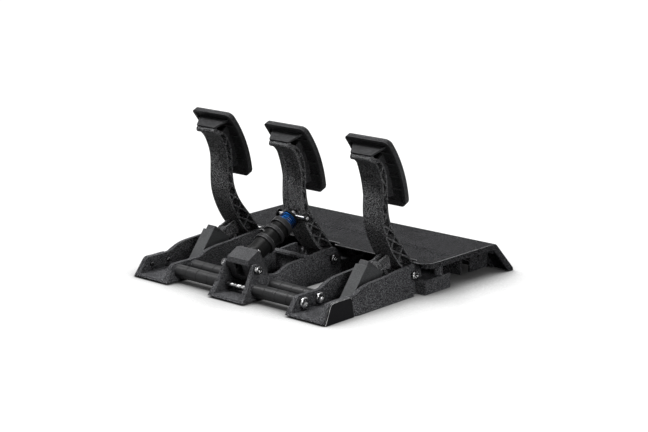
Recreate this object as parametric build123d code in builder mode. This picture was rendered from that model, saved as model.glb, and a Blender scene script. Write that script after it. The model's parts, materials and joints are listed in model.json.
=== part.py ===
from build123d import *
from math import ceil, cos, pi, radians, sin, sqrt, tan
import os

os.makedirs("parts", exist_ok=True)

# Sim racing pedal set: throttle, brake and clutch modules on one heel plate.
# X runs across the pedals with the throttle at +X, +Y is the toe end, +Z is up.
# The origin lies on the floor, in the middle of the brake module.
# All lengths are millimetres, all angles are degrees.

# Fits that several pieces share
overrun = 60.0
slide_gap = 0.3
pin_play = 0.05
wall_draft = 8.5
small_fillet = 0.8

# Tie rods and spacer rings, which set the pitch of the three modules
ring_radius = 8.25
ring_length = 18.6
short_ring_length = 12.0
throttle_rings = 4
clutch_rings = 3
ring_seam = 0.08
ring_bevel = 0.45
boss_reach = 29.1
tie_rod_radius = 2.75
tie_rod_front_y = 148.2
tie_rod_rear_y = 119.7
tie_rod_z = 14.3
tie_head_radius = 7.0
tie_head_height = 4.2
tie_nut_radius = 4.6
tie_nut_height = 5.0
throttle_x = 2 * boss_reach + throttle_rings * ring_length
clutch_x = -(2 * boss_reach + clutch_rings * ring_length + short_ring_length)

# Frames: die-cast channels with drafted outer walls
ground_gap = 0.5
toe_front = 170.5
toe_lift = 2.5
toe_length = 52.5
toe_height = 24.0
toe_lean = 57.4
toe_shoulder_radius = 8.0
toe_half = 30.0
toe_channel_half = 21.0
main_half = 32.6
main_step_run = 9.0
channel_half = 23.0
channel_floor = 3.5
toe_floor = 5.5
wall_height = 38.0
wall_end = 5.0
wall_end_radius = 3.0
wall_rise_shares = [(0.15, 0.36), (0.49, 0.71), (0.82, 0.94)]
pivot_y = -7.0
pivot_z = 22.5
ear_radius = 14.0
ear_recess = 6.5
ear_inner_half = 17.3
ear_seat_half = 21.6
ear_seat_radius = 6.5
tail_end = -57.0
tail_height = 19.0
tail_bevel = 2.5
block_reach = 40.4
block_front = -7.0
tail_boss_radius = 6.0
tail_boss_y = -42.0
tail_boss_inset = 8.0
mount_hole_radius = 3.3
mount_holes_y = [20.0, 105.0]

# Brake frame: the same channel, moved ahead, with taller ears at its toe
brake_lead = 2.0
brake_shift = 6.0
brake_wall_lift = 1.0
load_pivot_y = 142.5
load_pivot_z = 38.0
load_ear_rise = 6.5
load_ear_front = 4.5
load_ear_rear = 4.0
load_ear_radius = 3.0
load_ear_knee_shares = (0.48, 0.39)
load_ear_foot_y = 122.0
load_ear_foot_z = 28.6
load_ear_dip_y = 112.0
load_ear_dip_z = 27.0
brake_web_y = 55.0
brake_web_width = 3.0
brake_web_top = 10.0

# Pivot bolts, nuts and bushings
pivot_bolt_radius = 3.5
pivot_head_radius = 5.7
pivot_head_height = 4.6
pivot_nut_radius = 6.1
pivot_nut_height = 5.5
bushing_radius = 5.2
bushing_flange_radius = 8.0
bushing_flange_width = 1.5
bushing_length = 11.0
socket_share = 0.55
nut_bore_share = 0.8
nut_bevel_share = 0.12

# Pedal arms: curved skins, a middle web and truss ribs
arm_rise = 157.5
arm_half = 15.5
arm_hub_radius = 11.5
arm_nose_radius = 3.8
arm_nose_shares = (0.466, 0.99)
arm_front_shares = [
    (0.468, 0.972), (0.425, 0.945), (0.368, 0.854), (0.341, 0.77), (0.336, 0.65),
    (0.330, 0.47), (0.285, 0.335), (0.205, 0.197), (0.060, 0.04),
]
arm_rear_shares = [
    (-0.065, 0.03), (-0.008, 0.130), (0.105, 0.268), (0.205, 0.395), (0.260, 0.524),
    (0.275, 0.66), (0.284, 0.803), (0.308, 0.884), (0.368, 0.962), (0.440, 0.995),
]
arm_skin = 2.0
arm_web = 2.4
arm_rib = 1.9
arm_rib_levels_shares = [0.13, 0.245, 0.36, 0.46, 0.56, 0.65, 0.74, 0.83, 0.92]
arm_crossed_levels = 5
brake_skin = 3.4
brake_groove_half = 8.5
brake_groove_depth = 1.0

# Fork on the throttle and clutch arms, which pushes the spring plunger
fork_y = 38.0
fork_z = 41.0
fork_radius = 6.3
fork_half = 6.3
fork_slot_half = 3.6
fork_pin_radius = 2.0
fork_root_rise = 12.0
fork_root_drop = 7.0
open_pivot_play = 0.45

# Pads: a ribbed shell with a curved tread plate on it
pad_width = 67.0
pad_length = 93.0
pad_radius = 150.0
pad_y = 36.4
pad_z = 160.7
pad_tilt = 24.0
pad_corner = 7.0
tread_thickness = 2.6
tread_bevel = 1.1
shell_thickness = 4.0
shell_skin = 1.6
shell_rim = 4.0
shell_rib = 1.6
shell_cells = 5
shell_rail_half = 13.0
shell_rail_width = 3.0
shell_rail_low_share = 0.66
shell_rail_middle_share = 0.85
shell_rail_high_share = 0.955
shell_rail_shares = (-0.41, 0.24)
gusset_top_half = 25.0
gusset_thickness = 2.4
gusset_rise = 20.0
gusset_slope = 30.0
brake_pad_shift = 0.6
pad_screw_radius = 2.0
pad_screw_head_radius = 3.8
pad_screw_head_height = 1.6
pad_screw_length = 5.4
pad_screw_pitch = 44.0

# Spring cartridges of the throttle and the clutch
cartridge_tilt = 51.6
cartridge_y = 60.3
cartridge_z = 52.2
housing_half = 8.75
housing_wall = 1.8
housing_front = 2.2
housing_depth = 33.2
housing_top = -7.5
housing_rim = 1.0
housing_rear_wall_top = -22.0
housing_floor = -33.0
housing_foot_z = 10.4
base_pin_y = 70.0
base_pin_z = 10.0
base_pin_radius = 2.5
base_eye_radius = 5.5
base_lug_width = 3.6
base_lug_half_length = 7.0
base_pin_head_radius = 3.6
base_pin_head_width = 1.2
plunger_half = 6.6
plunger_depth = 29.0
plunger_length = 22.0
plunger_bevel = 0.9
tang_half = 3.3
tang_radius = 5.3
tang_hole_ahead = 0.3
tang_hole_rise = 0.2
coil_bore_radius = 5.6
coil_mean_radius = 4.5
coil_wire_radius = 0.7
coil_turns = 6
coil_seat_depth = 18.0

# Brake unit: load cell housing, elastomer stack, rod and cross pin
cross_pin_y = 50.0
cross_pin_z = 84.5
cross_pin_radius = 2.25
cross_pin_half = 25.0
cross_lug_radius = 3.6
pin_clip_radius = 5.2
pin_clip_width = 1.6
pin_clip_place = 22.6
cap_half = 17.5
cap_front = -5.0
cap_top = 13.4
cap_chamfer = 4.5
cap_rear = 18.6
cap_chin = -11.0
cap_tail_s = 7.5
cap_tail_low = -27.0
cap_tail_rear = -22.5
cap_cavity_half = 9.0
cap_cavity_high = 9.5
cap_cavity_low = -11.0
cap_cavity_front = 2.5
cap_window_half = 7.4
cap_window_high = 8.0
cap_window_low = -10.5
cap_plate_width = 2.6
cap_plate_half = 17.0
cap_plate_top = 12.4
load_cell_width = 9.0
load_cell_half = 8.6
load_cell_high = 9.2
load_cell_low = -10.6
load_cell_bore = 4.4
cap_screw_radius = 1.5
cap_screw_head_radius = 2.6
cap_screw_head_height = 1.7
cap_screw_length = 7.0
cap_screw_inset = 3.6
cell_screw_pitch = 13.0
toe_bolt_radius = 3.0
toe_bolt_head_radius = 5.2
toe_bolt_head_height = 4.8
toe_bolt_grip = 6.0
toe_bush_radius = 5.6
load_ear_seat_half = 25.6
rod_radius = 3.2
rod_front = 12.5
rod_end_radius = 5.4
rod_end_front = 4.4
rod_end_rear = 4.2
elastomer_radius = 12.3
elastomer_bore = 3.9
cup_radius = 14.2
cup_recess_radius = 12.8
cup_recess_depth = 3.5
cup_width = 5.5
last_cup_width = 7.5
cup_starts = [44.0, 62.4, 76.5]
preload_mean_radius = 11.0
preload_wire_radius = 0.9
preload_turns = 4.5
seat_width = 1.6
seat_radius = 12.0

# Toe covers and rubber feet
cover_front_gap = 1.6
cover_wall_gap = 0.1
cover_height = 24.0
cover_peg_radius = 2.6
cover_peg_length = 11.0
foot_inset = 8.0
foot_front_inset = 7.0
foot_rear_inset = 5.0
foot_corner = 3.0

# Heel plate
heel_top = 40.5
heel_sheet = 3.0
heel_front = -7.0
heel_half_front = 177.2
heel_half_rear = 180.0
heel_ridge = -142.0
heel_end = -172.5
heel_end_lip = 4.0
heel_skirt = 7.0
heel_slope_skirt = 9.0
heel_corner = 12.0
heel_ridge_radius = 9.0
heel_front_skirt_half = 160.0
notch_width = 40.0
notch_rear = -17.5
notch_corner = 3.0
crease_depth = 1.3
crease_run = 9.0
crease_side_y = -50.0
crease_middle_y = -67.0
crease_half = 158.0
crease_middle_half = 60.0
heel_rib = 2.2
heel_rib_depth = 9.0
heel_rib_rows = [-110.0, -136.0]
heel_rib_shares = [-0.85, -0.565, -0.28, 0.28, 0.565, 0.85]
heel_rib_front = -24.0
heel_wall_y = -76.5
heel_wall_low = 12.0
heel_wall_inset = 9.5
heel_wall_deep_low = 3.0
heel_wall_deep_half = 148.0
heel_cheek_step = 12.0
heel_cheek_front = -94.0
heel_cheek_rear = -131.0
heel_screw_radius = 2.5
heel_screw_head_radius = 4.6
heel_screw_head_height = 2.4
heel_screw_grip = 7.5
heel_screw_reach = 6.5
heel_boss_drop = 6.0
heel_foot_length = 30.0
heel_foot_width = 9.0
heel_foot_height = 4.0
heel_foot_x = 120.0
heel_foot_y = -160.0

# Electronics under the heel plate
box_length = 92.0
box_width = 54.0
box_height = 20.0
box_wall = 2.0
box_y = -106.0
box_lid = 2.0
box_corner = 4.0
board_thickness = 1.6
board_gap = 1.0
board_lift = 4.0
port_width = 12.0
port_height = 7.0
port_depth = 10.0
port_wall = 1.0
post_pitch_x = 76.0
post_pitch_y = 38.0
post_radius = 2.5
chip_size = 9.0
chip_height = 1.4
chip_pitch = 22.0
angle_board_width = 1.2
angle_board_length = 20.0
angle_board_height = 12.0
magnet_radius = 2.0
magnet_width = 1.5
magnet_drop = 8.2

load_pivot = (load_pivot_y, load_pivot_z)
heel_under = heel_top - heel_sheet
heel_boss_z = heel_under - heel_boss_drop
stack_y = cross_pin_y - load_pivot_y
stack_z = cross_pin_z - load_pivot_z
stack_length = sqrt(stack_y ** 2 + stack_z ** 2)
tie_rods_at = [(tie_rod_front_y, tie_rod_z), (tie_rod_rear_y, tie_rod_z)]
modules = {"throttle": (throttle_x, 0, 1), "brake": (0, brake_shift, 0), "clutch": (clutch_x, 0, -1)}
spring_modules = {name: values for name, values in modules.items() if name != "brake"}


def save(builder, name):
    """Label a finished piece and write it as its own file."""
    builder.part.label = name
    export_step(builder.part, f"parts/{name}.step")


def placed(shares, width, height, origin=(0, 0)):
    """Outline points from shares of a width and a height."""
    return [(origin[0] + width * a, origin[1] + height * b) for a, b in shares]


def side_plane(x):
    """The plane across a module, with Y to its right and Z up."""
    return Plane.YZ.offset(x)


def across(x, *centres):
    """Planes beside a module, from which holes along X run through it."""
    return [along_x(x + overrun, *centre) for centre in centres]


def screw(head_radius, head_height, shank_radius, length, rounding):
    """A socket screw along +Z, with the underside of its head at the origin."""
    with BuildPart() as piece:
        with BuildSketch(Plane.XY.offset(-head_height)):
            Circle(head_radius)
        extrude(amount=head_height)
        fillet(piece.edges().sort_by(Axis.Z)[0], radius=rounding)
        with BuildSketch():
            Circle(shank_radius)
        extrude(amount=length)
        with BuildSketch(Plane.XY.offset(-head_height)):
            RegularPolygon(head_radius * socket_share, side_count=6)
        extrude(amount=head_height * socket_share, mode=Mode.SUBTRACT)
    return piece.part


def nut(radius, height, bore):
    """A hexagon nut on +Z from the origin, with a domed cap."""
    with BuildPart() as piece:
        with BuildSketch():
            RegularPolygon(radius, side_count=6)
        extrude(amount=height)
        with BuildSketch():
            Circle(radius)
        extrude(amount=height, mode=Mode.INTERSECT)
        chamfer(piece.edges().group_by(Axis.Z)[-1], length=height * nut_bevel_share)
        with BuildSketch():
            Circle(bore)
        extrude(amount=height * nut_bore_share, mode=Mode.SUBTRACT)
    return piece.part


def along_x(x, y, z, direction=1):
    """A plane at a point, whose normal runs along X."""
    return Plane(origin=(x, y, z), x_dir=(0, 1, 0), z_dir=(direction, 0, 0))


# Frames

def wall_outline(shift, eared):
    """Side outline of a frame: its walls from the toe tip to the pivot ear, and the floor line."""
    tip = toe_front + (brake_lead if eared else 0)
    back = toe_front - toe_length + (shift if eared else 0)
    top = wall_height + (brake_wall_lift if eared else 0)
    end = wall_end + shift
    if eared:
        ear_top = load_pivot_z + load_ear_rise
        lean = tip - load_pivot_y - load_ear_front
        climb = ear_top - toe_lift
        front = [
            (tip, toe_lift),
            (tip - lean * load_ear_knee_shares[0], toe_lift + climb * load_ear_knee_shares[1]),
            (load_pivot_y + load_ear_front, ear_top),
            (load_pivot_y - load_ear_rear, ear_top),
            (load_ear_foot_y, load_ear_foot_z),
            (load_ear_dip_y, load_ear_dip_z),
        ]
        radii = [toe_shoulder_radius, load_ear_radius, load_ear_radius, toe_shoulder_radius]
    else:
        front = [
            (tip, toe_lift),
            (tip - (toe_height - toe_lift) / tan(radians(toe_lean)), toe_height),
            (back, toe_height),
        ]
        radii = [toe_shoulder_radius]
    crest_start = front[-1]
    crest = placed(wall_rise_shares, end - crest_start[0], top - crest_start[1], crest_start)
    with BuildSketch() as outline:
        with BuildLine():
            Polyline(*front)
            Spline(crest_start, *crest, (end, top), tangents=[(-1, 0), (-1, 0)])
            Polyline((end, top), (end, ground_gap), (back, ground_gap), (back, toe_lift), (tip, toe_lift))
        make_face()
        for corner, radius in zip(front[1:], radii):
            fillet(outline.vertices().sort_by_distance((*corner, 0))[0], radius=radius)
        fillet(outline.vertices().sort_by_distance((end, top, 0))[0], radius=wall_end_radius)
        # The pivot ear: an arch that runs down to the floor
        with Locations((pivot_y + shift, pivot_z)):
            Circle(ear_radius)
            Rectangle(2 * ear_radius, pivot_z - ground_gap, align=(Align.CENTER, Align.MAX))
    return outline.sketch


def frame(name, x, shift, side):
    """One cast frame: channel, toe, pivot ears and the tail under the heel plate."""
    eared = side == 0
    tip = toe_front + (brake_lead if eared else 0)
    back = toe_front - toe_length + (shift if eared else 0)
    ear_front = wall_end + shift
    ear_rear = pivot_y + shift - ear_radius
    ear_half = main_half - ear_recess
    footprint = [
        (toe_half, tip + overrun),
        (toe_half, back),
        (main_half, back - main_step_run),
        (main_half, ear_front),
        (ear_half, ear_front),
        (ear_half, ear_rear - overrun),
    ]
    with BuildPart() as body:
        with BuildSketch(Plane.XY.offset(ground_gap)):
            with BuildLine():
                Polyline(*[(x - a, b) for a, b in footprint], *[(x + a, b) for a, b in reversed(footprint)], close=True)
            make_face()
        extrude(amount=load_pivot_z + load_ear_rise, taper=wall_draft)
        with BuildSketch(side_plane(x - overrun)):
            add(wall_outline(shift, eared))
        extrude(amount=2 * overrun, mode=Mode.INTERSECT)
        # The tail with its side block, which carries the heel plate
        block_root = ear_half - ear_recess
        with BuildSketch(Plane.XY.offset(ground_gap)):
            with Locations((x, tail_end)):
                Rectangle(2 * ear_half, ear_rear + small_fillet - tail_end, align=(Align.CENTER, Align.MIN))
            if side:
                with Locations((x + side * block_root, tail_end)):
                    Rectangle(
                        block_reach - block_root, block_front - tail_end,
                        align=(Align.MIN if side > 0 else Align.MAX, Align.MIN),
                    )
        extrude(amount=tail_height - ground_gap)
        # The open channel, stepped in plan and in height
        with BuildSketch(Plane.XY.offset(toe_floor)):
            with Locations((x, back)):
                Rectangle(2 * toe_channel_half, overrun * 2, align=(Align.CENTER, Align.MIN))
        extrude(amount=overrun, mode=Mode.SUBTRACT)
        with BuildSketch(Plane.XY.offset(channel_floor)) as channel:
            with Locations((x, ear_front)):
                Rectangle(2 * channel_half, back - ear_front, align=(Align.CENTER, Align.MIN))
            with Locations((x, ear_rear + small_fillet)):
                Rectangle(2 * ear_inner_half, ear_front - ear_rear, align=(Align.CENTER, Align.MIN))
        extrude(amount=overrun, mode=Mode.SUBTRACT)
        # Bosses that take the spacer rings
        for face in (-1, 1):
            if face != side:
                with Locations(*[along_x(x + face * (boss_reach + overrun), *centre, face) for centre in tie_rods_at]):
                    Hole(ring_radius + slide_gap, depth=overrun)
                for centre in tie_rods_at:
                    with BuildSketch(along_x(x + face * boss_reach, *centre, -face)):
                        Circle(ring_radius)
                    extrude(amount=boss_reach - toe_channel_half - slide_gap)
        if eared:
            with BuildSketch(Plane.XY.offset(ground_gap)):
                with Locations((x, brake_web_y)):
                    Rectangle(2 * main_half - tail_bevel * 4, brake_web_width)
            extrude(amount=wall_height - ground_gap)
            with BuildSketch(Plane.XY.offset(wall_height)):
                with Locations((x, brake_web_y)):
                    Rectangle(2 * main_half - tail_bevel * 4, brake_web_top)
            extrude(amount=-brake_web_width)
            with Locations(*across(x, load_pivot)):
                Hole(toe_bolt_radius + pin_play, depth=2 * overrun)
            with Locations(*[along_x(x + face * (load_ear_seat_half + overrun), *load_pivot, face)
                             for face in (-1, 1)]):
                Hole(toe_bolt_head_radius + slide_gap, depth=overrun)
        else:
            # Lugs on the floor for the cartridge's base pin
            lug_inner = housing_half + slide_gap
            for face in (-1, 1):
                with BuildSketch(side_plane(x + face * lug_inner)):
                    with Locations((base_pin_y, base_pin_z)):
                        Circle(base_eye_radius)
                    with Locations((base_pin_y, base_pin_z)):
                        Rectangle(2 * base_lug_half_length, base_pin_z - ground_gap, align=(Align.CENTER, Align.MAX))
                extrude(amount=face * base_lug_width)
            lug_outer = lug_inner + base_lug_width
            with Locations(along_x(x + lug_outer, base_pin_y, base_pin_z)):
                Hole(base_pin_radius + pin_play, depth=2 * lug_outer)
            # Holes that bolt the set down from below
            with Locations(Plane(origin=(x, 0, channel_floor))):
                with Locations(*[(0, place) for place in mount_holes_y]):
                    Hole(mount_hole_radius, depth=channel_floor)
            # Recess for the angle sensor board on the inner face of one ear
            with BuildSketch(side_plane(x - side * ear_inner_half)):
                with Locations((pivot_y, pivot_z - magnet_drop)):
                    Rectangle(angle_board_length + slide_gap, angle_board_height + slide_gap)
            extrude(amount=-side * angle_board_width, mode=Mode.SUBTRACT)
        with Locations(*across(x, (pivot_y + shift, pivot_z))):
            Hole(pivot_bolt_radius + pin_play, depth=2 * overrun)
        with Locations(*across(x, *tie_rods_at)):
            Hole(tie_rod_radius + pin_play, depth=2 * overrun)
        # Flat seats for the pivot bolt's head and nut
        with Locations(*[along_x(x + face * (ear_seat_half + overrun), pivot_y + shift, pivot_z, face)
                         for face in (-1, 1)]):
            Hole(ear_seat_radius, depth=overrun)
        # Bosses and screw holes that carry the heel plate
        for boss_x in tail_bosses(x, side):
            with BuildSketch(Plane.XY.offset(tail_height - tail_bevel)):
                with Locations((boss_x, tail_boss_y)):
                    Circle(tail_boss_radius)
            extrude(amount=heel_boss_z - tail_height + tail_bevel)
            with Locations(Plane(origin=(boss_x, tail_boss_y, ground_gap), x_dir=(1, 0, 0), z_dir=(0, 0, -1))):
                CounterBoreHole(
                    heel_screw_radius + pin_play, heel_screw_head_radius + slide_gap,
                    heel_boss_z - heel_screw_grip - ground_gap, depth=heel_boss_z,
                )
    save(body, name)


def tail_bosses(x, side):
    """Where a frame's tail carries the heel plate."""
    ear_half = main_half - ear_recess
    reach = ear_half - tail_boss_inset
    outer = block_reach - tail_boss_inset
    return [x - (outer if side < 0 else reach), x + (outer if side > 0 else reach)]


for module, (x, shift, side) in modules.items():
    frame(f"{module}_frame", x, shift, side)


# Pedal arms

def arm_outline(shift):
    """Side outline of an arm: hub, curved front and rear, and the rolled nose."""
    origin = (pivot_y + shift, pivot_z)
    front = placed(arm_front_shares, arm_rise, arm_rise, origin)
    rear = placed(arm_rear_shares, arm_rise, arm_rise, origin)
    with BuildSketch() as outline:
        with BuildLine():
            Spline(*front)
            Line(front[-1], rear[0])
            Spline(*rear)
            Line(rear[-1], front[0])
        make_face()
        with Locations(origin):
            Circle(arm_hub_radius)
        with Locations(*placed([arm_nose_shares], arm_rise, arm_rise, origin)):
            Circle(arm_nose_radius)
    return outline.sketch


def across_arm(curve, level):
    """How far ahead of the pivot a skin stands at a level, both as shares of the arm's rise."""
    ordered = sorted((up, ahead) for ahead, up in curve)
    low = max(point for point in ordered if point[0] <= level)
    high = min(point for point in ordered if point[0] > level)
    return low[1] + (high[1] - low[1]) * (level - low[0]) / (high[0] - low[0])


def truss(shift, first, count):
    """A zigzag between the two skins of an arm, one point on each rib level."""
    curves = (arm_front_shares, arm_rear_shares)
    points = [
        (across_arm(curves[(index + first) % 2], level), level)
        for index, level in enumerate(arm_rib_levels_shares[:count])
    ]
    return placed(points, arm_rise, arm_rise, (pivot_y + shift, pivot_z))


def inside_skin(curve, wall, shift):
    """The points of a skin's curve, moved inwards by the skin's thickness."""
    points = placed(curve, arm_rise, arm_rise, (pivot_y + shift, pivot_z))
    moved = []
    for index, (y, z) in enumerate(points):
        before, after = points[max(index - 1, 0)], points[min(index + 1, len(points) - 1)]
        run, rise = after[0] - before[0], after[1] - before[1]
        length = sqrt(run ** 2 + rise ** 2)
        moved.append((y + wall * rise / length, z - wall * run / length))
    return moved


def arm_pockets(shift, side):
    """What is open in an arm's side: the outline inside its skins, less the truss ribs."""
    # The brake's front skin is thicker, because a groove is cut into it
    front = inside_skin(arm_front_shares[1:], arm_skin if side else brake_skin, shift)
    rear = inside_skin(arm_rear_shares[:-1], arm_skin, shift)
    with BuildSketch() as pockets:
        with BuildLine():
            Spline(*front)
            Line(front[-1], rear[0])
            Spline(*rear)
            Line(rear[-1], front[0])
        make_face()
        with Locations((pivot_y + shift, pivot_z)):
            Circle(arm_hub_radius + small_fillet, mode=Mode.SUBTRACT)
        for first, count in ((1, len(arm_rib_levels_shares)), (0, arm_crossed_levels)):
            with BuildLine():
                Polyline(*truss(shift, first, count))
            trace(line_width=arm_rib, mode=Mode.SUBTRACT)
    return pockets.sketch


def fork(x):
    """The two cheeks that hold the plunger's tang."""
    root_y = pivot_y + arm_rise * arm_front_shares[-2][0] - arm_skin
    with BuildPart() as cheeks:
        for face in (-1, 1):
            with BuildSketch(side_plane(x + face * fork_slot_half)):
                with Locations((fork_y, fork_z)):
                    Circle(fork_radius)
                with BuildLine():
                    Polyline(
                        (fork_y, fork_z - fork_radius),
                        (fork_y, fork_z + fork_radius),
                        (root_y, fork_z + fork_root_rise),
                        (root_y - fork_radius, fork_z - fork_root_drop),
                        close=True,
                    )
                make_face()
            extrude(amount=face * (fork_half - fork_slot_half))
    return cheeks.part


def cross_lugs(x):
    """Raised borders of the brake arm, with a half round saddle behind the cross pin."""
    origin = (pivot_y + brake_shift, pivot_z)
    low, high = placed([arm_front_shares[6], arm_front_shares[4]], arm_rise, arm_rise, origin)
    with BuildPart() as lugs:
        with BuildSketch(side_plane(x)):
            with BuildLine():
                Polyline(
                    (low[0] - arm_skin, low[1]),
                    low,
                    (cross_pin_y, cross_pin_z - cross_lug_radius),
                    (cross_pin_y, cross_pin_z + cross_lug_radius),
                    high,
                    (high[0] - arm_skin, high[1]),
                    close=True,
                )
            make_face()
        extrude(amount=arm_half, both=True)
    return lugs.part


def brake_grooves(x):
    """The groove up the brake arm's front and the deeper slot for the rod's end."""
    with BuildPart() as grooves:
        with BuildSketch(side_plane(x)):
            groove = arm_front_shares[1:7]
            floor = inside_skin(groove, brake_groove_depth, brake_shift)
            ahead = inside_skin(groove, -brake_groove_depth, brake_shift)
            with BuildLine():
                Spline(*floor)
                Line(floor[-1], ahead[-1])
                Spline(*ahead)
                Line(ahead[0], floor[0])
            make_face()
            with Locations((cross_pin_y, cross_pin_z)):
                Circle(cross_lug_radius + rod_end_rear)
        extrude(amount=brake_groove_half, both=True)
    return grooves.part


def arm(name, x, shift, side):
    """One pedal arm with its truss pockets, hub bore and fork or cross pin lugs."""
    pockets = arm_pockets(shift, side)
    with BuildPart() as body:
        with BuildSketch(side_plane(x)):
            add(arm_outline(shift))
        extrude(amount=arm_half, both=True)
        for face in (-1, 1):
            with BuildSketch(side_plane(x + face * arm_web / 2)):
                add(pockets)
            extrude(amount=face * arm_half, mode=Mode.SUBTRACT)
        if side:
            add(fork(x))
            with Locations(*across(x, (fork_y, fork_z))):
                Hole(fork_pin_radius + pin_play, depth=2 * overrun)
            with Locations(along_x(x - side * arm_half, pivot_y, pivot_z - magnet_drop, -side)):
                Hole(magnet_radius + pin_play, depth=magnet_width)
        else:
            add(cross_lugs(x))
            add(brake_grooves(x), mode=Mode.SUBTRACT)
            with Locations(*across(x, (cross_pin_y, cross_pin_z))):
                Hole(cross_pin_radius + pin_play, depth=2 * overrun)
        with Locations(*across(x, (pivot_y + shift, pivot_z))):
            Hole(bushing_radius + pin_play, depth=2 * overrun)
    save(body, name)


for module, (x, shift, side) in modules.items():
    arm(f"{module}_arm", x, shift, side)


# Pads

def pad_centre(side):
    """Middle of a pad's driver face."""
    return (pad_y + (brake_shift + brake_pad_shift if side == 0 else 0), pad_z)


def pad_side(x, side):
    """The plane across a pad: its length to the right, away from the toe upwards."""
    tilt = radians(pad_tilt)
    return Plane(origin=(x, *pad_centre(side)), x_dir=(0, sin(tilt), cos(tilt)), z_dir=(1, 0, 0))


def pad_front(x, side):
    """The plane of a pad's driver face."""
    tilt = radians(pad_tilt)
    return Plane(origin=(x, *pad_centre(side)), x_dir=(1, 0, 0), z_dir=(0, -cos(tilt), sin(tilt)))


def curved_layer(top, bottom, length, cells=1, gap=0):
    """Side section of a curved layer between two depths under the driver face."""
    sag = pad_radius - sqrt(pad_radius ** 2 - pad_length ** 2 / 4)
    cell = (length - (cells - 1) * gap) / cells
    with BuildSketch() as layer:
        with GridLocations(cell + gap, 0, cells, 1):
            Rectangle(cell, 2 * pad_radius)
        with Locations((0, sag - pad_radius)):
            Circle(pad_radius - top, mode=Mode.INTERSECT)
            Circle(pad_radius - bottom, mode=Mode.SUBTRACT)
        Rectangle(2 * pad_length, pad_length, mode=Mode.INTERSECT)
    return layer.sketch


def pad_plate(name, x, side):
    """The tread plate, with a bevel round its driver side."""
    with BuildPart() as plate:
        with BuildSketch(pad_side(x, side)):
            add(curved_layer(0, tread_thickness, pad_length + 2 * pad_corner))
        extrude(amount=pad_width, both=True)
        with BuildSketch(pad_front(x, side).offset(-overrun)):
            RectangleRounded(pad_width, pad_length, pad_corner)
        extrude(amount=2 * overrun, mode=Mode.INTERSECT)
        rim = plate.faces().filter_by(GeomType.CYLINDER).sort_by(SortBy.AREA)[-1].outer_wire().edges()
        chamfer(rim, length=tread_bevel)
        with Locations(*pad_screw_planes(x, side)):
            CounterSinkHole(pad_screw_radius + pin_play, pad_screw_head_radius, counter_sink_angle=90)
    save(plate, name)


def pad_screw_planes(x, side):
    """Where the pad screws sit on the driver face, one above the other."""
    face = pad_front(x, side)
    tilt = radians(pad_tilt)
    sag = pad_radius - sqrt(pad_radius ** 2 - pad_length ** 2 / 4)
    half = pad_screw_pitch / 2
    lift = sag - pad_radius + sqrt(pad_radius ** 2 - half ** 2)
    y, z = pad_centre(side)
    return [
        Plane(
            origin=(x, y + t * sin(tilt) - lift * cos(tilt), z + t * cos(tilt) + lift * sin(tilt)),
            x_dir=(1, 0, 0), z_dir=face.z_dir,
        )
        for t in (-half, half)
    ]


def pad_shell(name, x, shift, side):
    """The ribbed shell under the tread plate, with the rails and gusset that fix it to the arm."""
    bottom = tread_thickness + shell_thickness
    nose = placed([arm_nose_shares], arm_rise, arm_rise, (pivot_y + shift, pivot_z))[0]
    levels = (shell_rail_low_share, shell_rail_middle_share, shell_rail_high_share)
    middle = placed(
        [((across_arm(arm_front_shares, level) + across_arm(arm_rear_shares, level)) / 2, level) for level in levels],
        arm_rise, arm_rise, (pivot_y + shift, pivot_z),
    )
    across_pad = [
        pad_side(x, side).from_local_coords((pad_length * share, shell_thickness, 0)) for share in shell_rail_shares
    ]
    rail_ends = [(point.Y, point.Z) for point in across_pad]
    with BuildPart() as cells:
        with BuildSketch(pad_side(x, side)):
            add(curved_layer(tread_thickness + shell_skin, bottom + tread_thickness,
                             pad_length - 2 * shell_rim, shell_cells, shell_rib))
        extrude(amount=pad_width / 2 - shell_rim, both=True)
    with BuildPart() as shell:
        with BuildSketch(pad_side(x, side)):
            add(curved_layer(tread_thickness, bottom, pad_length + 2 * pad_corner))
        extrude(amount=pad_width, both=True)
        add(cells.part, mode=Mode.SUBTRACT)
        # Two rails that lie on the arm's rear skin
        for face in (-1, 1):
            with BuildSketch(side_plane(x + face * shell_rail_half)):
                with BuildLine():
                    Polyline(rail_ends[0], *middle, rail_ends[1], close=True)
                make_face()
                add(arm_outline(shift), mode=Mode.SUBTRACT)
            extrude(amount=-face * shell_rail_width)
        # The flared gusset from the arm's nose to the top of the pad
        slope = radians(gusset_slope)
        foot = (nose[0] + arm_nose_radius * sin(slope), nose[1] + arm_nose_radius * cos(slope))
        gusset = Plane(origin=(x, *foot), x_dir=(-1, 0, 0), z_dir=(0, sin(slope), cos(slope)))
        with BuildSketch(gusset):
            with BuildLine():
                Polyline(
                    (-arm_half, 0), (arm_half, 0),
                    (gusset_top_half, gusset_rise), (gusset_top_half, gusset_rise + pad_length),
                    (-gusset_top_half, gusset_rise + pad_length), (-gusset_top_half, gusset_rise), close=True,
                )
            make_face()
        extrude(amount=gusset_thickness)
        with BuildSketch(pad_side(x, side).offset(-overrun)):
            add(curved_layer(tread_thickness, pad_radius / 2, pad_length + 2 * pad_corner))
        extrude(amount=2 * overrun, mode=Mode.INTERSECT)
        with BuildSketch(pad_front(x, side).offset(-overrun)):
            RectangleRounded(pad_width, pad_length, pad_corner)
        extrude(amount=2 * overrun, mode=Mode.INTERSECT)
        with Locations(*pad_screw_planes(x, side)):
            Hole(pad_screw_radius + pin_play, depth=overrun / 2)
    save(shell, name)


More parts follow.
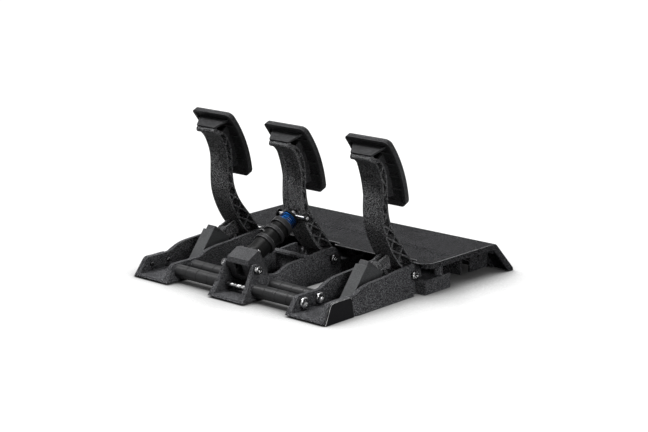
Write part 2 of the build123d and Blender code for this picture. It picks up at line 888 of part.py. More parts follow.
def pad_screws(name, x, side):
    """Countersunk screws that hold the tread plate on its shell."""
    with BuildPart() as one:
        Cone(
            bottom_radius=pad_screw_radius, top_radius=pad_screw_head_radius,
            height=pad_screw_head_height, align=(Align.CENTER, Align.CENTER, Align.MAX),
        )
        Cylinder(pad_screw_radius, pad_screw_length, align=(Align.CENTER, Align.CENTER, Align.MAX))
        with BuildSketch():
            RegularPolygon(pad_screw_radius * socket_share, side_count=6)
        extrude(amount=-pad_screw_head_height, mode=Mode.SUBTRACT)
    with BuildPart() as screws:
        with Locations(*pad_screw_planes(x, side)):
            add(one.part)
    save(screws, name)


for module, (x, shift, side) in modules.items():
    pad_shell(f"{module}_pad_shell", x, shift, side)
    pad_plate(f"{module}_pad_plate", x, side)
    pad_screws(f"{module}_pad_screws", x, side)


# Pivot bolts, nuts, bushings and magnets

with BuildPart() as pivot_bolts:
    for x, shift, side in modules.values():
        with Locations(along_x(x - ear_seat_half, pivot_y + shift, pivot_z)):
            add(screw(pivot_head_radius, pivot_head_height, pivot_bolt_radius,
                      2 * ear_seat_half + pivot_nut_height * nut_bore_share - slide_gap, small_fillet * 2))
save(pivot_bolts, "pivot_bolts")

with BuildPart() as pivot_nuts:
    for x, shift, side in modules.values():
        with Locations(along_x(x + ear_seat_half, pivot_y + shift, pivot_z)):
            add(nut(pivot_nut_radius, pivot_nut_height, pivot_bolt_radius + pin_play))
save(pivot_nuts, "pivot_nuts")

for module, (x, shift, side) in modules.items():
    with BuildPart() as bushings:
        for face in (-1, 1):
            with BuildSketch(along_x(x + face * arm_half, pivot_y + shift, pivot_z, face)):
                Circle(bushing_flange_radius)
            extrude(amount=bushing_flange_width)
            with BuildSketch(along_x(x + face * arm_half, pivot_y + shift, pivot_z, face)):
                Circle(bushing_radius)
            extrude(amount=-bushing_length)
        with Locations(*across(x, (pivot_y + shift, pivot_z))):
            Hole(pivot_bolt_radius + pin_play, depth=2 * overrun)
        if side:
            # The flange is cut back beside the magnet
            with BuildSketch(side_plane(x - side * arm_half)):
                with Locations((pivot_y, pivot_z - magnet_drop)):
                    Circle(magnet_radius + slide_gap)
            extrude(amount=-side * bushing_flange_width, mode=Mode.SUBTRACT)
    save(bushings, f"{module}_bushings")

for module, (x, shift, side) in spring_modules.items():
    with BuildPart() as magnet:
        with BuildSketch(along_x(x - side * arm_half, pivot_y, pivot_z - magnet_drop, side)):
            Circle(magnet_radius)
        extrude(amount=magnet_width)
    save(magnet, f"{module}_magnet")

with BuildPart() as sensor_boards:
    for x, shift, side in spring_modules.values():
        with BuildSketch(side_plane(x - side * ear_inner_half)):
            with Locations((pivot_y, pivot_z - magnet_drop)):
                Rectangle(angle_board_length, angle_board_height)
        extrude(amount=-side * angle_board_width)
        with Locations(*across(x, (pivot_y, pivot_z))):
            Hole(pivot_bolt_radius + slide_gap, depth=2 * overrun)
save(sensor_boards, "sensor_boards")


# Spring cartridges

def cartridge_side(x):
    """The plane across a cartridge: forwards to its right, along its axis upwards."""
    tilt = radians(cartridge_tilt)
    return Plane(origin=(x, cartridge_y, cartridge_z), x_dir=(0, sin(tilt), cos(tilt)), z_dir=(1, 0, 0))


def cartridge_cross(x, along=0):
    """The plane square to a cartridge's axis, some way up it."""
    tilt = radians(cartridge_tilt)
    return Plane(
        origin=(x, cartridge_y - along * cos(tilt), cartridge_z + along * sin(tilt)),
        x_dir=(1, 0, 0), z_dir=(0, -cos(tilt), sin(tilt)),
    )


def in_cartridge(y, z):
    """A point of the module in a cartridge's own forward and upward lengths."""
    tilt = radians(cartridge_tilt)
    forward = (y - cartridge_y) * sin(tilt) + (z - cartridge_z) * cos(tilt)
    up = (z - cartridge_z) * sin(tilt) - (y - cartridge_y) * cos(tilt)
    return forward, up


def spring_housing(name, x):
    """The tapered box that swings on the base pin and guides the plunger."""
    tilt = radians(cartridge_tilt)
    eye = in_cartridge(base_pin_y, base_pin_z)
    rear = housing_front - housing_depth
    foot = (housing_foot_z - cartridge_z - housing_front * cos(tilt)) / sin(tilt)
    rear_foot = (housing_foot_z - cartridge_z - rear * cos(tilt)) / sin(tilt)
    with BuildPart() as housing:
        with BuildSketch(cartridge_side(x)):
            with BuildLine():
                Polyline(
                    (housing_front, housing_top), (housing_front, foot), eye,
                    (rear, rear_foot), (rear, housing_rim), close=True,
                )
            make_face()
            with Locations(eye):
                Circle(base_eye_radius)
        extrude(amount=housing_half, both=True)
        with BuildSketch(cartridge_side(x)):
            with Locations((housing_front - housing_wall, housing_floor)):
                Rectangle(housing_depth - 2 * housing_wall, overrun, align=(Align.MAX, Align.MIN))
            with Locations((housing_front - housing_wall, housing_rear_wall_top)):
                Rectangle(overrun, overrun, align=(Align.MAX, Align.MIN))
        extrude(amount=housing_half - housing_wall, both=True, mode=Mode.SUBTRACT)
        with Locations(*across(x, (base_pin_y, base_pin_z))):
            Hole(base_pin_radius + pin_play, depth=2 * overrun)
        front_edges = housing.edges().filter_by(Axis.X).sort_by_distance(
            cartridge_side(x).from_local_coords((housing_front, housing_top, 0)))
        fillet(front_edges[0], radius=small_fillet)
    save(housing, name)


def spring_plunger(name, x):
    """The block that slides in the housing, with the tang that the arm's fork holds."""
    tip = in_cartridge(fork_y, fork_z)
    with BuildPart() as plunger:
        with BuildSketch(cartridge_side(x)):
            Rectangle(plunger_depth, plunger_length, align=(Align.MAX, Align.MAX))
        extrude(amount=plunger_half, both=True)
        corner = plunger.edges().filter_by(Axis.X).sort_by_distance((x, cartridge_y, cartridge_z))[0]
        chamfer(corner, length=plunger_bevel)
        with BuildSketch(cartridge_cross(x, -plunger_length)):
            with Locations((0, -plunger_depth / 2)):
                Circle(coil_bore_radius)
        extrude(amount=coil_seat_depth, mode=Mode.SUBTRACT)
        # Room for the fork's cheeks beside the tang
        with BuildSketch(cartridge_side(x)):
            with Locations(tip):
                Circle(fork_radius + open_pivot_play + slide_gap)
        extrude(amount=plunger_half, both=True, mode=Mode.SUBTRACT)
        with BuildSketch(cartridge_side(x)):
            with Locations(tip):
                Circle(tang_radius)
                Rectangle(2 * tang_radius, tip[1] + tang_radius, align=(Align.CENTER, Align.MAX))
        extrude(amount=tang_half, both=True)
        with Locations(*across(x, (fork_y + tang_hole_ahead, fork_z + tang_hole_rise))):
            Hole(fork_pin_radius + open_pivot_play, depth=2 * overrun)
    save(plunger, name)


def least_coil_gap(mean_radius, wire_radius, length, turns):
    """Least clear distance between two turns, measured on points along the wire."""
    steps = 48
    points = []
    for index in range(ceil(steps * turns) + 1):
        angle = 2 * pi * index / steps
        points.append(Vector(mean_radius * cos(angle), mean_radius * sin(angle), length * index / steps / turns))
    least = length
    for index, point in enumerate(points):
        for other in points[index + steps // 2:]:
            least = min(least, (point - other).length)
    return least - 2 * wire_radius


def coil(start, mean_radius, wire_radius, length, turns):
    """A coil spring along a plane's normal: one wire, swept along two tangent arcs per half turn."""
    rise = (length - 2 * wire_radius) / turns
    slope = rise / (2 * pi * mean_radius)

    def on_helix(angle):
        return Vector(mean_radius * cos(angle), mean_radius * sin(angle), wire_radius + rise * angle / (2 * pi))

    def heading(angle):
        return Vector(-sin(angle), cos(angle), slope).normalized()

    with BuildPart() as spring:
        with BuildLine() as path:
            for half_turn in range(ceil(2 * turns)):
                near, far = on_helix(pi * half_turn), on_helix(pi * (half_turn + 1))
                first, last = heading(pi * half_turn), heading(pi * (half_turn + 1))
                span = far - near
                spread = 2 * (1 - first.dot(last))
                reach = span.dot(first + last)
                arm_length = (sqrt(reach ** 2 + spread * span.dot(span)) - reach) / spread
                middle = (near + first * arm_length + far - last * arm_length) / 2
                TangentArc(near, middle, tangent=first)
                TangentArc(middle, far, tangent=(far - last * arm_length - near - first * arm_length))
        with BuildSketch(Plane(origin=path.line @ 0, z_dir=path.line % 0)):
            Circle(wire_radius)
        sweep()
    print("least gap between turns", round(least_coil_gap(mean_radius, wire_radius, length - 2 * wire_radius, turns), 2))
    with BuildPart() as fitted:
        with Locations(start):
            add(spring.part)
    return fitted


for module, (x, shift, side) in spring_modules.items():
    spring_housing(f"{module}_spring_housing", x)
    spring_plunger(f"{module}_spring_plunger", x)
    coil_start = cartridge_cross(x, housing_floor + 2 * pin_play)
    coil_length = -housing_floor - plunger_length + coil_seat_depth - slide_gap - pin_play
    coil_place = coil_start.shift_origin(coil_start.from_local_coords((0, -plunger_depth / 2, 0)))
    save(coil(coil_place, coil_mean_radius, coil_wire_radius, coil_length, coil_turns), f"{module}_coil_spring")
    with BuildPart() as fork_pin:
        with BuildSketch(along_x(x - fork_half, fork_y, fork_z)):
            Circle(fork_pin_radius)
        extrude(amount=2 * fork_half)
    save(fork_pin, f"{module}_fork_pin")

with BuildPart() as base_pins:
    lug_outer = housing_half + slide_gap + base_lug_width
    for x, shift, side in spring_modules.values():
        with BuildSketch(along_x(x - lug_outer, base_pin_y, base_pin_z)):
            Circle(base_pin_radius)
        extrude(amount=2 * lug_outer)
        for face in (-1, 1):
            with BuildSketch(along_x(x + face * lug_outer, base_pin_y, base_pin_z, face)):
                Circle(base_pin_head_radius)
            extrude(amount=base_pin_head_width)
save(base_pins, "cartridge_base_pins")


# Brake unit

def stack_side(x=0):
    """The plane across the brake unit: along the rod to its right, square to the rod upwards."""
    return Plane(origin=(x, *load_pivot), x_dir=(0, stack_y, stack_z), z_dir=(-1, 0, 0))


def stack_cross(along=0):
    """The plane square to the rod, some way from the load pivot."""
    share = along / stack_length
    return Plane(
        origin=(0, load_pivot_y + stack_y * share, load_pivot_z + stack_z * share),
        x_dir=(1, 0, 0), z_dir=(0, stack_y, stack_z),
    )


def tube(start, end, outer, inner):
    """A tube round the rod between two places along it."""
    with BuildPart() as piece:
        with BuildSketch(stack_cross(start)):
            Circle(outer)
            Circle(inner, mode=Mode.SUBTRACT)
        extrude(amount=end - start)
    return piece


cap_screws_at = [
    (side * (cap_plate_half - cap_screw_inset), level)
    for side in (-1, 1)
    for level in (cap_plate_top - cap_screw_inset, cap_tail_rear + cap_screw_inset)
]
cell_screws_at = [(0, face * cell_screw_pitch / 2) for face in (-1, 1)]

with BuildPart() as load_cell_housing:
    with BuildSketch(stack_side()) as cap_outline:
        with BuildLine():
            Polyline(
                (cap_front, cap_chin),
                (cap_front, cap_top - cap_chamfer),
                (cap_front + cap_chamfer, cap_top),
                (cap_rear, cap_top),
                (cap_rear, cap_tail_rear),
                (cap_tail_s, cap_tail_low),
            )
            Spline((cap_tail_s, cap_tail_low), (cap_front + cap_chamfer / 2, cap_tail_low * 0.72),
                   (cap_front, cap_chin), tangents=[(-1, 0.35), (0, 1)])
        make_face()
    extrude(amount=cap_half, both=True)
    with BuildSketch(stack_side()):
        with Locations((cap_cavity_front, cap_cavity_low)):
            Rectangle(overrun, cap_cavity_high - cap_cavity_low, align=(Align.MIN, Align.MIN))
    extrude(amount=cap_cavity_half, both=True, mode=Mode.SUBTRACT)
    with BuildSketch(stack_cross(cap_front)):
        with Locations((0, (cap_window_high + cap_window_low) / 2)):
            RectangleRounded(2 * cap_window_half, cap_window_high - cap_window_low, small_fillet * 2)
    extrude(amount=cap_cavity_front - cap_front, mode=Mode.SUBTRACT)
    with Locations(*across(0, load_pivot)):
        Hole(toe_bolt_radius + pin_play, depth=2 * overrun)
    with BuildSketch(stack_cross(cap_rear)):
        with Locations(*cap_screws_at):
            Circle(cap_screw_radius + pin_play)
    extrude(amount=-cap_screw_length, mode=Mode.SUBTRACT)
save(load_cell_housing, "load_cell_housing")

with BuildPart() as load_cell_plate:
    with BuildSketch(stack_cross(cap_rear)):
        with Locations((0, (cap_plate_top + cap_tail_rear) / 2)):
            RectangleRounded(2 * cap_plate_half, cap_plate_top - cap_tail_rear, small_fillet * 2)
        Circle(load_cell_bore, mode=Mode.SUBTRACT)
        with Locations(*cap_screws_at):
            Circle(cap_screw_radius + pin_play, mode=Mode.SUBTRACT)
    extrude(amount=cap_plate_width)
save(load_cell_plate, "load_cell_plate")

with BuildPart() as load_cell:
    with BuildSketch(stack_cross(cap_rear - load_cell_width)):
        with Locations((0, (load_cell_high + load_cell_low) / 2)):
            Rectangle(2 * load_cell_half, load_cell_high - load_cell_low)
        Circle(load_cell_bore, mode=Mode.SUBTRACT)
    extrude(amount=load_cell_width)
    with BuildSketch(stack_cross(cap_rear - load_cell_width)):
        with Locations(*cell_screws_at):
            Circle(cap_screw_radius + pin_play)
    extrude(amount=cap_screw_length, mode=Mode.SUBTRACT)
save(load_cell, "load_cell")

cap_screw = screw(cap_screw_head_radius, cap_screw_head_height, cap_screw_radius, cap_screw_length, small_fillet / 2)
with BuildPart() as load_cell_screws:
    plate_back = stack_cross(cap_rear + cap_plate_width)
    cell_front = stack_cross(cap_rear - load_cell_width)
    with Locations(*[
        Plane(origin=plate_back.from_local_coords((*spot, 0)), x_dir=(1, 0, 0), z_dir=-plate_back.z_dir)
        for spot in cap_screws_at
    ]):
        add(cap_screw)
    with Locations(*[
        Plane(origin=cell_front.from_local_coords((*spot, 0)), x_dir=(1, 0, 0), z_dir=cell_front.z_dir)
        for spot in cell_screws_at
    ]):
        add(cap_screw)
save(load_cell_screws, "load_cell_screws")

toe_bolt_length = load_ear_seat_half - cap_half + toe_bolt_grip
with BuildPart() as toe_bolts:
    with Locations(*[along_x(face * load_ear_seat_half, *load_pivot, -face) for face in (-1, 1)]):
        add(screw(toe_bolt_head_radius, toe_bolt_head_height, toe_bolt_radius, toe_bolt_length, small_fillet))
save(toe_bolts, "toe_bolts")

with BuildPart() as toe_bushes:
    for face in (-1, 1):
        with BuildSketch(along_x(face * toe_channel_half, *load_pivot, -face)):
            Circle(toe_bush_radius)
            Circle(toe_bolt_radius + pin_play, mode=Mode.SUBTRACT)
        extrude(amount=toe_channel_half - cap_half - slide_gap)
save(toe_bushes, "toe_bushes")

# The rod, its seat washer and what is threaded on it
with BuildPart() as rod:
    with BuildSketch(stack_cross(rod_front)):
        Circle(rod_radius)
    extrude(amount=stack_length - rod_front)
    with BuildSketch(stack_cross(stack_length - rod_end_front)):
        Circle(rod_end_radius)
    extrude(amount=rod_end_front + rod_end_rear)
    chamfer(rod.edges().filter_by(GeomType.CIRCLE).sort_by(Axis.Y)[0], length=small_fillet)
    with Locations(*across(0, (cross_pin_y, cross_pin_z))):
        Hole(cross_pin_radius + open_pivot_play, depth=2 * overrun)
save(rod, "brake_rod")

seat_start = stack_length - rod_end_front - seat_width
save(tube(seat_start, seat_start + seat_width, seat_radius, rod_radius + pin_play), "spring_seat")

stack_starts = [cap_rear + cap_plate_width] + [
    start + width for start, width in zip(cup_starts, (cup_width, cup_width))
]
for index, (start, cup_start) in enumerate(zip(stack_starts, cup_starts), start=1):
    floor = cup_start + cup_recess_depth
    width = last_cup_width if index == len(cup_starts) else cup_width
    save(tube(start, floor, elastomer_radius, elastomer_bore), f"elastomer_{index}")
    with BuildPart() as cup:
        with BuildSketch(stack_cross(cup_start)):
            Circle(cup_radius)
            Circle(rod_radius + slide_gap, mode=Mode.SUBTRACT)
        extrude(amount=width)
        with BuildSketch(stack_cross(cup_start)):
            Circle(cup_recess_radius)
        extrude(amount=cup_recess_depth, mode=Mode.SUBTRACT)
        outer_edges = cup.edges().filter_by(GeomType.CIRCLE).group_by(SortBy.LENGTH)[-1]
        fillet(outer_edges, radius=small_fillet)
    save(cup, f"cup_{index}")

preload_start = cup_starts[-1] + last_cup_width
save(coil(stack_cross(preload_start), preload_mean_radius, preload_wire_radius,
          seat_start - preload_start, preload_turns), "preload_spring")

with BuildPart() as cross_pin:
    with BuildSketch(along_x(-cross_pin_half, cross_pin_y, cross_pin_z)):
        Circle(cross_pin_radius)
    extrude(amount=2 * cross_pin_half)
    chamfer(cross_pin.edges(), length=small_fillet / 2)
save(cross_pin, "cross_pin")

with BuildPart() as pin_clips:
    for face in (-1, 1):
        with BuildSketch(along_x(face * pin_clip_place, cross_pin_y, cross_pin_z, face)):
            Circle(pin_clip_radius)
            Circle(cross_pin_radius, mode=Mode.SUBTRACT)
        extrude(amount=pin_clip_width)
save(pin_clips, "cross_pin_clips")


# Tie rods with their nuts and spacer rings

rod_start = clutch_x + toe_channel_half
rod_end = throttle_x - toe_channel_half + tie_nut_height * nut_bore_share - slide_gap
with BuildPart() as tie_rods:
    with Locations(*[along_x(rod_start, *centre) for centre in tie_rods_at]):
        add(screw(tie_head_radius, tie_head_height, tie_rod_radius, rod_end - rod_start,
                  small_fillet * 2))
save(tie_rods, "tie_rods")

with BuildPart() as tie_nuts:
    with Locations(*[along_x(throttle_x - toe_channel_half, *centre) for centre in tie_rods_at]):
        add(nut(tie_nut_radius, tie_nut_height, tie_rod_radius + pin_play))
save(tie_nuts, "tie_rod_nuts")

ring_spans = [(boss_reach + index * ring_length, ring_length) for index in range(throttle_rings)]
ring_spans += [(clutch_x + boss_reach, short_ring_length)]
ring_spans += [(-boss_reach - (index + 1) * ring_length, ring_length) for index in range(clutch_rings)]
with BuildPart() as spacer_rings:
    for start, width in ring_spans:
        with BuildSketch(side_plane(start)):
            with Locations(*tie_rods_at):
                Circle(ring_radius)
                Circle(tie_rod_radius + pin_play * 2, mode=Mode.SUBTRACT)
        extrude(amount=width - ring_seam)
    rims = spacer_rings.edges().filter_by(GeomType.CIRCLE).group_by(SortBy.LENGTH)[-1]
    chamfer(rims, length=ring_bevel)
save(spacer_rings, "spacer_rings")


# Toe covers and rubber feet

def drafted_side(x, half):
    """The space inside a frame's outer walls, drafted like them."""
    with BuildPart() as inside:
        with BuildSketch(Plane.XY.offset(ground_gap)):
            with Locations((x, toe_front - toe_length)):
                Rectangle(2 * half, 4 * overrun)
        extrude(amount=load_pivot_z, taper=wall_draft)
    return inside.part


def toe_cover(x, side):
    """The cap on a toe's outer wall, with two pegs through the holes of the tie rods."""
    lean = (cover_height - ground_gap) / tan(radians(toe_lean))
    tip = toe_front - cover_front_gap
    back = toe_front - toe_length
    with BuildPart() as cover:
        with BuildSketch(side_plane(x)) as outline:
            with BuildLine():
                Polyline(
                    (tip, ground_gap), (tip - lean, cover_height), (back + toe_lift, cover_height),
                    (back, cover_height - toe_lift), (back, ground_gap), close=True,
                )
            make_face()
            fillet(outline.vertices().sort_by_distance((tip - lean, cover_height, 0))[0], radius=toe_shoulder_radius)
        extrude(amount=side * overrun)
        add(drafted_side(x, main_half), mode=Mode.INTERSECT)
        add(drafted_side(x, toe_half + cover_wall_gap), mode=Mode.SUBTRACT)
        with BuildSketch(side_plane(x + side * (toe_half - cover_peg_length))):
            with Locations(*tie_rods_at):
                Circle(cover_peg_radius)
        extrude(amount=side * cover_peg_length)
    return cover.part


with BuildPart() as toe_covers:
    for x, shift, side in spring_modules.values():
        add(toe_cover(x, side))
save(toe_covers, "toe_covers")

with BuildPart() as rubber_feet:
    for x, shift, side in modules.values():
        front = toe_front - foot_front_inset
        rear = toe_front - toe_length + foot_rear_inset + (shift if side == 0 else 0)
        with BuildSketch():
            with Locations((x, (front + rear) / 2)):
                RectangleRounded(2 * (toe_half - foot_inset), front - rear, foot_corner)
        extrude(amount=toe_lift)
    with BuildSketch():
        with Locations(*[(place * heel_foot_x, heel_foot_y) for place in (-1, 0, 1)]):
            RectangleRounded(heel_foot_length, heel_foot_width, foot_corner)
    extrude(amount=heel_foot_height)
save(rubber_feet, "rubber_feet")


# Heel plate

slope_run = heel_ridge - heel_end
slope_fall = heel_top - heel_end_lip
slope_length = sqrt(slope_run ** 2 + slope_fall ** 2)


def slope_at(depth, inside):
    """Where the rear slope stands at a depth under the top, on a line moved inside it."""
    return heel_ridge - depth * slope_run / slope_fall + inside * slope_length / slope_fall


def heel_section():
    """Side section of the heel plate's sheet and skirts."""
    with BuildSketch() as outline:
        with BuildLine():
            Polyline(
                (heel_front, heel_top),
                (heel_ridge, heel_top),
                (heel_end, heel_end_lip),
                (heel_end, ground_gap),
                (slope_at(heel_top - ground_gap, heel_slope_skirt), ground_gap),
                (slope_at(heel_skirt, heel_slope_skirt), heel_top - heel_skirt),
                (heel_front, heel_top - heel_skirt),
                close=True,
            )
        make_face()
        fillet(outline.vertices().sort_by_distance((heel_ridge, heel_top, 0))[0], radius=heel_ridge_radius)
    return outline.sketch


def cavity_section():
    """Side section of the space under the sheet."""
    with BuildSketch() as outline:
        with BuildLine():
            Polyline(
                (heel_front - heel_sheet, heel_under),
                (slope_at(heel_sheet, heel_sheet), heel_under),
                (slope_at(slope_fall, heel_sheet), heel_end_lip),
                (slope_at(slope_fall, heel_sheet), 0),
                (heel_front - heel_sheet, 0),
                close=True,
            )
        make_face()
        inner_ridge = (slope_at(heel_sheet, heel_sheet), heel_under, 0)
        fillet(outline.vertices().sort_by_distance(inner_ridge)[0], radius=heel_ridge_radius - heel_sheet)
    return outline.sketch


def heel_bay():
    """Side section of all the room inside the sheet, which the ribs are cut to."""
    with BuildSketch() as outline:
        with BuildLine():
            Polyline(
                (heel_front - heel_sheet / 2, heel_top - heel_sheet / 2),
                (slope_at(heel_sheet / 2, heel_sheet / 2), heel_top - heel_sheet / 2),
                (slope_at(slope_fall, heel_sheet / 2), heel_end_lip),
                (slope_at(slope_fall, heel_sheet / 2), 0),
                (heel_front - heel_sheet / 2, 0),
                close=True,
            )
        make_face()
    return outline.sketch


def heel_space(inset, section):
    """The heel plate's drafted plan, inset from its sides, cut to a side section."""
    front = heel_half_front - inset
    rear = heel_half_rear - inset
    with BuildPart() as space:
        with BuildSketch():
            with BuildLine():
                Polyline(
                    (-rear, heel_end - overrun), (rear, heel_end - overrun), (rear, heel_end),
                    (front, heel_front), (front, heel_front + overrun),
                    (-front, heel_front + overrun), (-front, heel_front), (-rear, heel_end), close=True,
                )
            make_face()
        extrude(amount=heel_top, taper=wall_draft)
        with BuildSketch(side_plane(-heel_half_rear)):
            add(section)
        extrude(amount=2 * heel_half_rear, mode=Mode.INTERSECT)
    return space.part


def crease_plan(spread):
    """Plan of the lowered front part of the top, spread by some width at its rear and sides."""
    half = crease_half + spread
    with BuildSketch() as plan:
        with BuildLine():
            Polyline(
                (-half, heel_front + overrun), (-half, crease_side_y - spread),
                (-crease_middle_half, crease_middle_y - spread), (crease_middle_half, crease_middle_y - spread),
                (half, crease_side_y - spread), (half, heel_front + overrun), close=True,
            )
        make_face()
    return plan.sketch


box_low = heel_under - box_height
port_low = box_low + box_lid + board_lift + board_thickness
chips_at = [(place * chip_pitch, box_y) for place in (-1, 0, 1)]
heel_bosses_at = [
    (boss_x, tail_boss_y) for x, shift, side in modules.values() for boss_x in tail_bosses(x, side)
]

with BuildPart() as heel_ribs:
    # Ribs across and along, a deep wall behind the frames, and shelves for the rear feet
    with BuildSketch(Plane.XY.offset(heel_under - heel_rib_depth)):
        for row in heel_rib_rows:
            with Locations((0, row)):
                Rectangle(2 * heel_half_rear, heel_rib)
    extrude(amount=heel_rib_depth)
    for share in heel_rib_shares:
        with BuildSketch(side_plane(heel_half_front * share - heel_rib / 2)):
            add(heel_section())
            with Locations((heel_rib_front, 0)):
                Rectangle(overrun, 2 * heel_top, align=(Align.MIN, Align.CENTER), mode=Mode.SUBTRACT)
        extrude(amount=heel_rib)
    wall_half = heel_half_front - heel_wall_inset
    with BuildSketch(Plane.XY.offset(heel_wall_low)):
        with Locations((0, heel_wall_y)):
            Rectangle(2 * wall_half, heel_rib)
        with Locations((-wall_half, heel_cheek_rear), (wall_half, heel_cheek_rear)):
            Rectangle(heel_rib, heel_cheek_front - heel_cheek_rear, align=(Align.CENTER, Align.MIN))
        with Locations((heel_cheek_step - wall_half, heel_wall_y), (wall_half - heel_cheek_step, heel_wall_y)):
            Rectangle(heel_rib, heel_wall_y - heel_cheek_front, align=(Align.CENTER, Align.MAX))
    extrude(amount=heel_under - heel_wall_low)
    with BuildSketch(Plane.XY.offset(heel_wall_deep_low)):
        with Locations((0, heel_wall_y)):
            Rectangle(2 * heel_wall_deep_half, heel_rib)
    extrude(amount=heel_wall_low - heel_wall_deep_low)
    with BuildSketch(Plane.XY.offset(heel_foot_height)):
        for place in (-1, 0, 1):
            with Locations((place * heel_foot_x, heel_foot_y)):
                Rectangle(heel_foot_length + 2 * heel_sheet, heel_foot_width + 2 * heel_sheet)
    extrude(amount=heel_sheet)
    add(heel_space(heel_sheet / 2, heel_bay()), mode=Mode.INTERSECT)
    # The bay that the electronics box fills
    with BuildSketch(Plane.XY.offset(box_low)):
        with Locations((0, box_y)):
            Rectangle(box_length + 2 * slide_gap, box_width + 2 * slide_gap)
    extrude(amount=box_height, mode=Mode.SUBTRACT)

with BuildPart() as heel_plate:
    add(heel_space(0, heel_section()))
    corners = heel_plate.edges().filter_by(
        lambda edge: abs(edge.center().Y - heel_front) < heel_sheet
        and edge.bounding_box().size.Z > heel_skirt / 2
    )
    fillet(corners, radius=heel_corner)
    add(heel_space(heel_sheet, cavity_section()), mode=Mode.SUBTRACT)
    # The skirt runs along the front edge only at the outer corners
    with BuildSketch():
        with Locations((0, heel_front)):
            Rectangle(2 * heel_front_skirt_half, 2 * heel_sheet + slide_gap)
    extrude(amount=heel_under, mode=Mode.SUBTRACT)
    # The lowered front part of the top, with a ramp up to the rear
    with BuildSketch(Plane.XY.offset(heel_top - crease_depth)):
        add(crease_plan(0))
    with BuildSketch(Plane.XY.offset(heel_top)):
        add(crease_plan(crease_run))
    loft(ruled=True, mode=Mode.SUBTRACT)
    add(heel_ribs.part)
    with BuildSketch(Plane.XY.offset(heel_boss_z)):
        with Locations(*heel_bosses_at):
            Circle(tail_boss_radius)
    extrude(amount=heel_boss_drop)
    with BuildSketch(Plane.XY.offset(heel_boss_z)):
        with Locations(*heel_bosses_at):
            Circle(heel_screw_radius + pin_play)
    extrude(amount=heel_boss_drop + heel_sheet - crease_depth - small_fillet, mode=Mode.SUBTRACT)
    # Notches for the pedal arms
    with BuildSketch():
        for x, shift, side in modules.values():
            with Locations((x, heel_front)):
                RectangleRounded(notch_width, 2 * (heel_front - notch_rear), notch_corner)
    extrude(amount=overrun, mode=Mode.SUBTRACT)
save(heel_plate, "heel_plate")

with BuildPart() as heel_screws:
    with Locations(*[Plane(origin=(*spot, heel_boss_z - heel_screw_grip)) for spot in heel_bosses_at]):
        add(screw(heel_screw_head_radius, heel_screw_head_height, heel_screw_radius,
                  heel_screw_grip + heel_screw_reach, small_fillet))
save(heel_screws, "heel_plate_screws")


# Electronics under the heel plate

with BuildPart() as electronics_housing:
    with BuildSketch(Plane.XY.offset(box_low + box_lid)):
        with Locations((0, box_y)):
            RectangleRounded(box_length, box_width, box_corner)
    extrude(amount=box_height - box_lid)
    with BuildSketch(Plane.XY.offset(box_low)):
        with Locations((0, box_y)):
            RectangleRounded(box_length - 2 * box_wall, box_width - 2 * box_wall, box_corner - box_wall)
    extrude(amount=box_height - box_wall, mode=Mode.SUBTRACT)
    with BuildSketch(Plane.XY.offset(port_low)):
        with Locations((0, box_y - box_width / 2)):
            Rectangle(port_width + 2 * slide_gap, 4 * box_wall)
    extrude(amount=port_height + slide_gap, mode=Mode.SUBTRACT)
save(electronics_housing, "electronics_housing")

with BuildPart() as electronics_lid:
    with BuildSketch(Plane.XY.offset(box_low)):
        with Locations((0, box_y)):
            RectangleRounded(box_length, box_width, box_corner)
    extrude(amount=box_lid)
    with BuildSketch(Plane.XY.offset(box_low + box_lid)):
        with Locations((0, box_y)):
            with GridLocations(post_pitch_x, post_pitch_y, 2, 2):
                Circle(post_radius)
    extrude(amount=board_lift)
save(electronics_lid, "electronics_lid")

with BuildPart() as circuit_board:
    with BuildSketch(Plane.XY.offset(box_low + box_lid + board_lift)):
        with Locations((0, box_y)):
            Rectangle(box_length - 2 * (box_wall + board_gap), box_width - 2 * (box_wall + board_gap))
    extrude(amount=board_thickness)
    with BuildSketch(Plane.XY.offset(port_low)):
        with Locations(*chips_at):
            Rectangle(chip_size, chip_size)
    extrude(amount=chip_height)
save(circuit_board, "circuit_board")

with BuildPart() as cable_socket:
    with BuildSketch(Plane.XY.offset(port_low)):
        with Locations((0, box_y - box_width / 2)):
            Rectangle(port_width, port_depth, align=(Align.CENTER, Align.MIN))
    extrude(amount=port_height)
    with BuildSketch(Plane.XZ.offset(-(box_y - box_width / 2))):
        with Locations((0, port_low + port_height / 2)):
            Rectangle(port_width - 2 * port_wall, port_height - 2 * port_wall)
    extrude(amount=-(port_depth - port_wall), mode=Mode.SUBTRACT)
save(cable_socket, "cable_socket")
